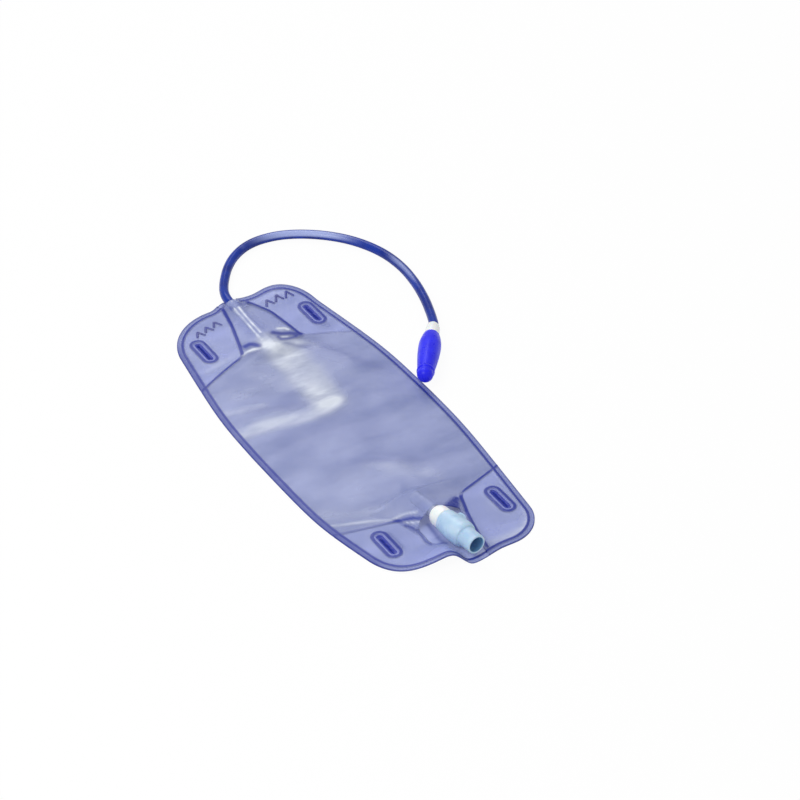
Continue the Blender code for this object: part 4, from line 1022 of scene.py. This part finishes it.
def make_films():
    """Front and back film, from one grid, each with its own cuts, patches and lines; the patches and some
    lines are painted highlights and painted shade.
    """
    front, edges, front_faces = ring_grid()
    back, back_faces = front, front_faces
    for loop in [notch_loop(), opening_loop()] + [slot_loop(c, WINDOW_RADIUS) for c in slot_centres()]:
        front, front_faces = cut(front, front_faces, loop)
    for centre in slot_centres():
        back, back_faces = slit(back, back_faces, centre)
    # Painted shade on the back film: a dark line along the lower left edge of the valve's opening, and a
    # painted contact shadow where the valve body meets the film
    lines = 0.6 * streak(back, OPENING_EDGE, 1.2) + 0.55 * streak(back, BODY_FOOT, 1.5)
    for side, plane, faces, height, pale, dark, look in (
            ("front", front, front_faces, front_height, *patches(front), (0.34, 0.85, 0)),
            ("back", back, back_faces, back_height, np.zeros(len(back)), lines, (0.75, 0.95, 1))):
        # Painted shade: the edge weld of the left side, seen end on, is painted dark over its whole width
        rim = 0.85 * eased(-plane[:, 0], 44, 14) * eased(-edges, -WELD_INSET, 1.6)
        fields = {**weld_fields(plane), "edge": edges, "painted_highlight": pale, "painted_shade": np.maximum(dark, rim)}
        film_piece(f"{side}_film_skin", f"{side}_film", plane, height(plane, edges), faces, FILM,
                   film_material(f"blue_vinyl_{side}", *look), fields)


def make_sleeve():
    """The flat one-way sleeve: two fine grids. The back one lies flat on the bag's back film. The front
    one is drawn over the port's end, and then lies flat with soft creases in sine waves."""
    u, v = np.meshgrid(np.linspace(-1, 1, SLEEVE_COLUMNS), np.linspace(0, 1, SLEEVE_ROWS))
    x = SLEEVE_X + SLEEVE_HALF_WIDTH * u.ravel()
    y = SLEEVE_TOP - SLEEVE_LENGTH * (1 - v.ravel())
    edges = SLEEVE_HALF_WIDTH * (1 - np.abs(u.ravel()))
    over = tent(x - INLET_X, SLEEVE_NECK, SLEEVE_NECK, INLET_Z - SLEEVE_FRONT_BASE, TUBE_RADIUS + GAP)
    over *= eased(y, PORT_INNER_Y - TENT_LEAD + SLEEVE_LAG, TENT_RUN)
    crease = 0.06 * (1 + np.sin(0.5 * x + 0.06 * y)) * eased(edges, 0, 3) * eased(-y, -92, 10)
    material = plastic("milky_sleeve_vinyl")
    for side, height in (("back", np.full(len(x), FRONT_BASE)),
                         ("front", SLEEVE_FRONT_BASE + over + crease)):
        film_piece(f"sleeve_{side}_skin", f"reflux_sleeve_{side}", np.column_stack([x, y]), height,
                   grid_faces(*u.shape, False), SLEEVE_FILM, material, {})


# Marks pressed into the top corners: three chevrons each, pointing to the inlet end
MARK_CENTRES = [(-33.9, 141.6), (-26, 143.9), (-18.1, 146.2), (26, 147.9), (34, 148.3), (42, 148)]
MARK_HALF_WIDTH = 3.3
MARK_RISE = 6.4
MARK_STROKE = 0.85
MARK_THICK = 0.18
MARK_POINTS = 40
MARK_SIDES = 12


def make_marks():
    """Each chevron is two raised strokes with a round section, laid on the front film."""
    material = plastic("pressed_blue_vinyl")
    foot = 0.5 * MARK_RISE
    turn = full_turn(MARK_SIDES)
    ends = np.sqrt(np.clip(1 - np.linspace(-1, 1, MARK_POINTS) ** 30, 0, 1))[:, None]
    for k, (x, y) in enumerate(MARK_CENTRES):
        corners = [(x - MARK_HALF_WIDTH, y - foot), (x, y + foot), (x + MARK_HALF_WIDTH, y - foot)]
        line, _ = resample(rounded(corners, 0.8), MARK_POINTS)
        along = unit(np.gradient(line, axis=0))
        side = np.column_stack([-along[:, 1], along[:, 0]])
        plane = line[:, None, :] + side[:, None, :] * (MARK_STROKE * np.cos(turn) * ends)[..., None]
        flat = plane.reshape(-1, 2)
        z = top_height(flat) + (MARK_THICK * (0.15 + np.sin(turn)) * ends).ravel()
        name = f"up_mark_{k + 1}"
        mesh = solid_mesh(name, np.column_stack([flat, z]), grid_faces(MARK_POINTS, MARK_SIDES))
        add_object(name, mesh, material, "bag")


# Turned pieces

def valve_matrix():
    """Local Z out along the valve, local X across the bag, local Y up."""
    across = Vector((math.cos(VALVE_SWING), math.sin(VALVE_SWING), 0))
    return axes_at((VALVE_X, VALVE_Y, VALVE_Z), direction(VALVE_SWING, VALVE_TILT), across)


def cap_axis():
    """The unit vector from the connector towards the cap's tip."""
    return direction(CAP_HEADING + math.pi / 2, CAP_TILT)


def cap_matrix(distance_back):
    """Local Z towards the cap's tip, with the widest ring just clear of the surface."""
    out = cap_axis()
    rear_z = CAP_MAX * math.cos(CAP_TILT) + TUBE_FLOOR_GAP - CAP_WIDEST * math.sin(CAP_TILT)
    place = Vector((*CAP_REAR, rear_z)) - out * distance_back
    return axes_at(place, out, Vector((0, 0, 1)).cross(out).normalized())


def make_ports():
    """The inlet and the outlet port: two plain tubes."""
    inlet = Matrix.Translation((INLET_X, PORT_INNER_Y, INLET_Z)) @ Matrix.Rotation(-math.pi / 2, 4, "X")
    front = -DOME_BACK - GAP
    material = plastic("clear_vinyl_port")
    for node, bore, radius, low, high, matrix in (
            ("inlet_port", TUBE_BORE, TUBE_RADIUS, 0, PORT_OUTER_Y - PORT_INNER_Y, inlet),
            ("outlet_port", SPIGOT_RADIUS + GAP, OUTLET_RADIUS, front - OUTLET_LENGTH, front,
             valve_matrix())):
        profile = [(bore, high), (radius, high), (radius, low), (bore, low)]
        mesh = turned_mesh(node + "_tube", profile, matrix, 0.3, True)
        add_object(node + "_tube", mesh, material, "bag", node)


def make_connector(material):
    """White stepped adaptor with a round-shouldered collar."""
    pitch = STEM_LENGTH / STEM_STEPS
    fall = (STEM_ROOT - STEM_TIP) / STEM_STEPS
    end = COLLAR_LENGTH + STEM_LENGTH
    profile = [(CONNECTOR_BORE, end)]
    for i in range(STEM_STEPS):
        wide = STEM_TIP + fall * (i + 0.5)
        profile += [(wide - 0.8 * fall - 0.3, end - i * pitch), (wide, end - (i + 0.55) * pitch),
                    (wide - 0.3, end - (i + 0.75) * pitch)]
    profile += [(STEM_ROOT - 0.3, COLLAR_LENGTH), (COLLAR_RADIUS, COLLAR_LENGTH)]
    profile += arc(COLLAR_RADIUS - COLLAR_LIP, COLLAR_SHOULDER, (COLLAR_LIP, 1.1 * COLLAR_SHOULDER),
                   0, -80, 14)
    profile += [(COLLAR_LIP, 0), (CONNECTOR_BORE, 0)]
    mesh = turned_mesh("connector_moulding", profile, cap_matrix(COLLAR_LENGTH + GAP), 0.2, True)
    return add_object("connector_moulding", mesh, material, "bag", "inlet_connector")


def make_cap():
    """Bright blue cap: open rear, swelling body, a ring near its round tip."""
    neck = CAP_RING - 1.7
    head = CAP_NECK - 0.3
    outer = [(0, CAP_LENGTH)]
    outer += arc(head, CAP_TIP, (0, CAP_LENGTH - CAP_TIP), 84, 0, 18)
    outer += [(head, CAP_RING + 1.7)]
    outer += [(head + 0.65 * math.sin(t) ** 2, CAP_RING + 1.6 * math.cos(t))
              for t in np.linspace(0.2, math.pi - 0.6, 9)]
    swell = CAP_MAX - CAP_NECK
    outer += [(CAP_NECK + swell * math.sin(share * math.pi / 2), neck + share * (CAP_WIDEST - neck))
              for share in np.linspace(0, 1, 16)]
    rise = CAP_MAX - CAP_REAR_RADIUS
    outer += [(CAP_REAR_RADIUS + rise * (1 - share ** 1.7), CAP_WIDEST * (1 - share))
              for share in np.linspace(0, 0.92, 14)[1:]]
    outer += [(CAP_REAR_RADIUS, 0.8), (CAP_REAR_RADIUS - 0.3, 0)]
    inner = [(STEM_ROOT + GAP, 0), (STEM_TIP + GAP, STEM_LENGTH + 1), (0, STEM_LENGTH + 2)]
    mesh = turned_mesh("cap_moulding", outer + inner, cap_matrix(0), 0.25)
    material = plastic("soft_blue_polyethylene")
    return add_object("cap_moulding", mesh, material, "cap", "connector_cap")


def make_stem(material):
    """White valve core: spigot in the port, domed collar, and a grooved barrel inside the sleeve."""
    profile = [(0, CORE_END), (CORE_RADIUS - 0.3, CORE_END), (CORE_RADIUS, CORE_END - 0.3)]
    floor = CORE_RADIUS - RING_DEPTH
    for place in sorted(RING_PLACES, reverse=True):
        high, low = place + RING_GROOVE / 2, place - RING_GROOVE / 2
        profile += [(CORE_RADIUS, high), (floor, high), (floor, low), (CORE_RADIUS, low)]
    snap = DOME_FRONT + GAP + SNAP_PLACE
    ridge = CORE_RADIUS + SNAP_RISE
    profile += [(CORE_RADIUS, snap + 0.6), (ridge, snap + 0.2), (ridge, snap - 0.2),
                (CORE_RADIUS, snap - 0.6)]
    profile += [(CORE_RADIUS, DOME_FRONT), (DOME_RADIUS - 0.5, DOME_FRONT), (DOME_RADIUS, DOME_FRONT - 0.5)]
    foot = OUTLET_RADIUS - 0.6
    profile += arc(DOME_RADIUS - foot, DOME_BACK, (foot, 0), 0, -90, 16)
    back = -DOME_BACK - SPIGOT_LENGTH
    web = CORE_END - WEB
    profile += [(SPIGOT_RADIUS, -DOME_BACK), (SPIGOT_RADIUS, back + 0.4), (SPIGOT_RADIUS - 0.4, back),
                (2, back), (2, -1), (CORE_BORE, 1), (CORE_BORE, web), (0, web)]
    mesh = turned_mesh("stem_moulding", profile, valve_matrix(), 0.12)
    obj = add_object("stem_moulding", mesh, material, "bag", "valve_stem")
    drill(obj, 45, CORE_END - 2 * WEB, CORE_END + WEB)


def combine(obj, mesh, operation):
    """Joins or cuts a piece with a closed mesh, and keeps the result as its own mesh."""
    tool = link("tool", mesh)
    modifier = obj.modifiers.new("combine", "BOOLEAN")
    modifier.object = tool
    modifier.operation = operation
    modifier.solver = "EXACT"
    result = bpy.data.meshes.new_from_object(obj.evaluated_get(bpy.context.evaluated_depsgraph_get()))
    obj.modifiers.remove(modifier)
    obj.data = result
    bpy.data.objects.remove(tool, do_unlink=True)


def drill(obj, angle, low, high):
    """Bores the flow hole beside the valve's axis."""
    turn = math.radians(angle)
    offset = Matrix.Translation((FLOW_OFFSET * math.cos(turn), FLOW_OFFSET * math.sin(turn), 0))
    profile = [(0, high), (FLOW_HOLE, high), (FLOW_HOLE, low), (0, low)]
    combine(obj, turned_mesh("drill", profile, valve_matrix() @ offset, 0.01), "DIFFERENCE")


def wing_mesh():
    """The thumb wing: a flat plate, its edges and outer corner rounded, its front edge sloped."""
    root = CORE_RADIUS + SNAP_RISE + 1.4
    flank = WING_END - 9.2
    outline = rounded([(root, WING_START), (WING_REACH, WING_START), (WING_REACH, flank), (root, WING_END)],
                      2, True)
    centre = np.array([root, 0.5 * (WING_START + WING_END)])
    layers = []
    edge = 0.6
    towards = unit(centre - outline)
    for t in np.linspace(-math.pi / 2, math.pi / 2, 9):
        ring = outline + edge * (1 - math.cos(t)) * towards
        level = math.sin(t) * edge + math.copysign(WING_THICK / 2 - edge, t)
        layers.append(np.column_stack([ring[:, 0], np.full(len(ring), level), ring[:, 1]]))
    middles = [np.tile((centre[0], side * WING_THICK / 2, centre[1]), (len(outline), 1)) for side in (-1, 1)]
    layers = [middles[0], *layers, middles[1]]
    points = placed(np.concatenate(layers), valve_matrix())
    return solid_mesh("wing", points, grid_faces(len(layers), len(outline)))


def make_valve_body():
    """Pale blue turning sleeve with its thumb wing, nozzle and mouth."""
    rear = DOME_FRONT + GAP
    bore = CORE_RADIUS + GAP
    web = CORE_END + GAP
    snap = rear + SNAP_PLACE
    outer = [(0, web + WEB), (MOUTH_RADIUS - 0.3, web + WEB), (MOUTH_RADIUS, NOZZLE_END - 0.4),
             (MOUTH_RADIUS + 0.4, NOZZLE_END), (NOZZLE_RADIUS - 0.4, NOZZLE_END),
             (NOZZLE_RADIUS, NOZZLE_END - 0.4), (NOZZLE_RADIUS + 0.3, NOZZLE_START)]
    step = BODY_RADIUS - NOZZLE_RADIUS - 0.3
    fall = NOZZLE_START - BODY_WIDEST - 4.5
    outer += [(BODY_RADIUS - step * (1 - math.sin(t)), NOZZLE_START - fall * (1 - math.cos(t)))
              for t in np.linspace(0.12, 0.5, 10)[1:-1] * math.pi]
    outer += [(BODY_RADIUS, BODY_WIDEST + 4.5), (BODY_RADIUS, BODY_WIDEST)]
    back = rear + 0.5 - BODY_WIDEST
    outer += [(BODY_RADIUS - 1.1 * share ** 1.3, BODY_WIDEST + share * back)
              for share in np.linspace(0.1, 1, 10)]
    outer += [(BODY_RADIUS - 1.6, rear)]
    inner = [(bore + GAP, rear), (bore, rear + GAP), (bore, snap - 0.7), (bore + SNAP_RISE, snap - 0.3),
             (bore + SNAP_RISE, snap + 0.3), (bore, snap + 0.7), (bore, web), (0, web)]
    mesh = turned_mesh("sleeve_moulding", outer + inner, valve_matrix(), 0.15)
    obj = add_object("sleeve_moulding", mesh, plastic("pale_blue_polypropylene"), "valve_sleeve",
                     "valve_sleeve")
    combine(obj, wing_mesh(), "UNION")
    drill(obj, -45, web - WEB / 2, web + 2 * WEB)
    # Painted shade: the inside of the mouth is marked for the material to paint it darker
    local = placed(vertices(obj.data), valve_matrix().inverted())
    within = (np.hypot(local[:, 0], local[:, 1]) < MOUTH_RADIUS + 0.2) & (local[:, 2] > web + 0.5 * WEB)
    add_field(obj.data, "inside", within)


# Inlet tube

def tube_route():
    """Points through which the free tube runs, from the port to the connector."""
    start = Vector((INLET_X, PORT_OUTER_Y + GAP, INLET_Z))
    end = cap_matrix(COLLAR_LENGTH + 2 * GAP).translation
    over_edge = [(2.3, 168.6, 4.45), (5.5, 176.6, 3.9)]
    on_surface = [(12, 187.2), (21.9, 199.6), (33.3, 209.4), (46.7, 215.8), (61.1, 217.2), (77.5, 213.4),
                  (94.7, 203.4), (109.9, 188.9), (120.5, 172.4), (127.1, 153.6), (129.1, 133),
                  (127.1, 112.2)]
    to_connector = [(122.3, 92.4, 4.2), (116.1, 74.2, 5.1)]
    low = TUBE_RADIUS + TUBE_FLOOR_GAP
    middle = [Vector(point) for point in over_edge + [(x, y, low) for x, y in on_surface] + to_connector]
    straight = TUBE_LEAD * Vector((0, 1, 0))
    return [start, start + straight, *middle, end - TUBE_LEAD * cap_axis(), end]


def smooth_route(points, first, last, per_span):
    """Cubic spans through the points, with the end directions of what the tube joins."""
    middle = [(after - before).normalized() for before, after in zip(points, points[2:])]
    turns = [first, *middle, last]
    route = []
    for i in range(len(points) - 1):
        a, b = points[i], points[i + 1]
        reach = (b - a).length
        for step in range(per_span):
            t = step / per_span
            there = 3 * t ** 2 - 2 * t ** 3
            leave = (t ** 3 - 2 * t ** 2 + t) * reach
            arrive = (t ** 3 - t ** 2) * reach
            route.append((1 - there) * a + there * b + leave * turns[i] + arrive * turns[i + 1])
    return np.array([tuple(p) for p in route + [points[-1]]])


# Where the tube's top catches the light: place, reach along it, and strength
TUBE_GLARES = [((88, 204), 34, 0.8), ((42.8, 209.2), 4, 0.7), ((129.5, 128), 18, 0.5)]


def tube_glare(points, route):
    """A pale share on the side of the tube that faces up and towards the camera."""
    best = np.linalg.norm(points[:, None, :2] - route[None, :, :2], axis=-1).argmin(axis=1)
    lit = np.array((TO_CAMERA + Vector((0, 0, 0.35))).normalized())
    facing = (points - route[best]) @ lit / TUBE_RADIUS
    along = sum(share * np.exp(-(np.linalg.norm(route[best, :2] - place, axis=1) / reach) ** 4)
                for place, reach, share in TUBE_GLARES)
    return eased(facing, 0.6, 0.3) * along


def make_tube():
    """A round tube along the route: at each point a ring square to it, and flat ends closed in."""
    route = smooth_route(tube_route(), Vector((0, 1, 0)), cap_axis(), TUBE_STEPS)
    along = unit(np.gradient(route, axis=0))
    side = unit(np.cross(along, (0, 0, 1)))
    up = np.cross(side, along)
    turn = full_turn(TUBE_SIDES)
    around = np.cos(turn)[None, :, None] * side[:, None] + np.sin(turn)[None, :, None] * up[:, None]
    rings = route[:, None] + TUBE_RADIUS * around
    caps = [np.repeat(route[k][None, None], TUBE_SIDES, axis=1) for k in (0, -1)]
    points = np.concatenate([caps[0], rings, caps[1]]).reshape(-1, 3)
    mesh = solid_mesh("free_tube", points, grid_faces(len(route) + 2, TUBE_SIDES))
    add_field(mesh, "glare", tube_glare(vertices(mesh), route))
    return add_object("free_tube", mesh, plastic("deep_blue_vinyl"), "bag", "inlet_tube"), route


# Light and stage

def bare_tree(block):
    """An emptied node tree, and its output that is one for what the camera sees, even through film."""
    block.use_nodes = True
    tree = block.node_tree
    tree.nodes.clear()
    rays = add_node(tree, "LightPath").outputs
    return tree, calculate(tree, "ADD", rays["Is Camera Ray"], rays["Is Transmission Ray"], clamp=True)


def make_world():
    """A white surround, dimmer as a light than to the camera."""
    world = bpy.data.worlds.new("studio")
    bpy.context.scene.world = world
    tree, seen = bare_tree(world)
    strength = remap(tree, seen, 0, 1, WORLD_LIGHT, 1)
    back = add_node(tree, "Background", {"Color": WHITE, "Strength": strength})
    add_node(tree, "OutputWorld", {"Surface": back.outputs[0]})


def make_floor():
    """A white floor that stays white to the camera and still takes a faint shadow."""
    corner = np.array([(-1, -1), (1, -1), (1, 1), (-1, 1)]) * FLOOR_HALF
    mesh = raw_mesh("floor", np.column_stack([corner, np.full(4, -FLOOR_DROP)]), np.array([(0, 1, 2, 3)]))
    material = bpy.data.materials.new("white_paper")
    tree, seen = bare_tree(material)
    share = calculate(tree, "MULTIPLY", seen, FLOOR_GLOW)
    paper = add_node(tree, "BsdfDiffuse", {"Color": (0.95, 0.95, 0.95, 1)})
    glow = add_node(tree, "Emission", {"Color": WHITE, "Strength": 1})
    both = add_node(tree, "MixShader", {0: share, 1: paper.outputs[0], 2: glow.outputs[0]})
    add_node(tree, "OutputMaterial", {"Surface": both.outputs[0]})
    mesh.materials.append(material)
    link("floor", mesh)


def make_light(name, azimuth, elevation, away, size, power):
    """A square soft light that faces the bag's middle."""
    data = bpy.data.lights.new(name, "AREA")
    data.size = size * MM
    data.energy = power
    aim(link(name, data), direction(math.radians(azimuth), math.radians(elevation)), away)


def main():
    """Camera and cord first, then the other pieces, then the light."""
    bpy.context.scene.view_settings.view_transform = "Standard"
    make_camera()
    tube, route = make_tube()
    white = plastic("white_polypropylene")
    connector = make_connector(white)
    cap = make_cap()
    make_films()
    make_sleeve()
    make_marks()
    make_ports()
    make_stem(white)
    make_valve_body()
    rubber = plastic("black_nitrile_rubber")
    for name in ("o_ring_inner", "o_ring_outer"):
        for slot in bpy.data.objects[name].material_slots:
            slot.material = rubber
    make_world()
    make_floor()
    make_light("back_light", 168, 48, 1600, 900, 7)
    make_light("key_light", -75, 50, 1500, 700, 9)


main()
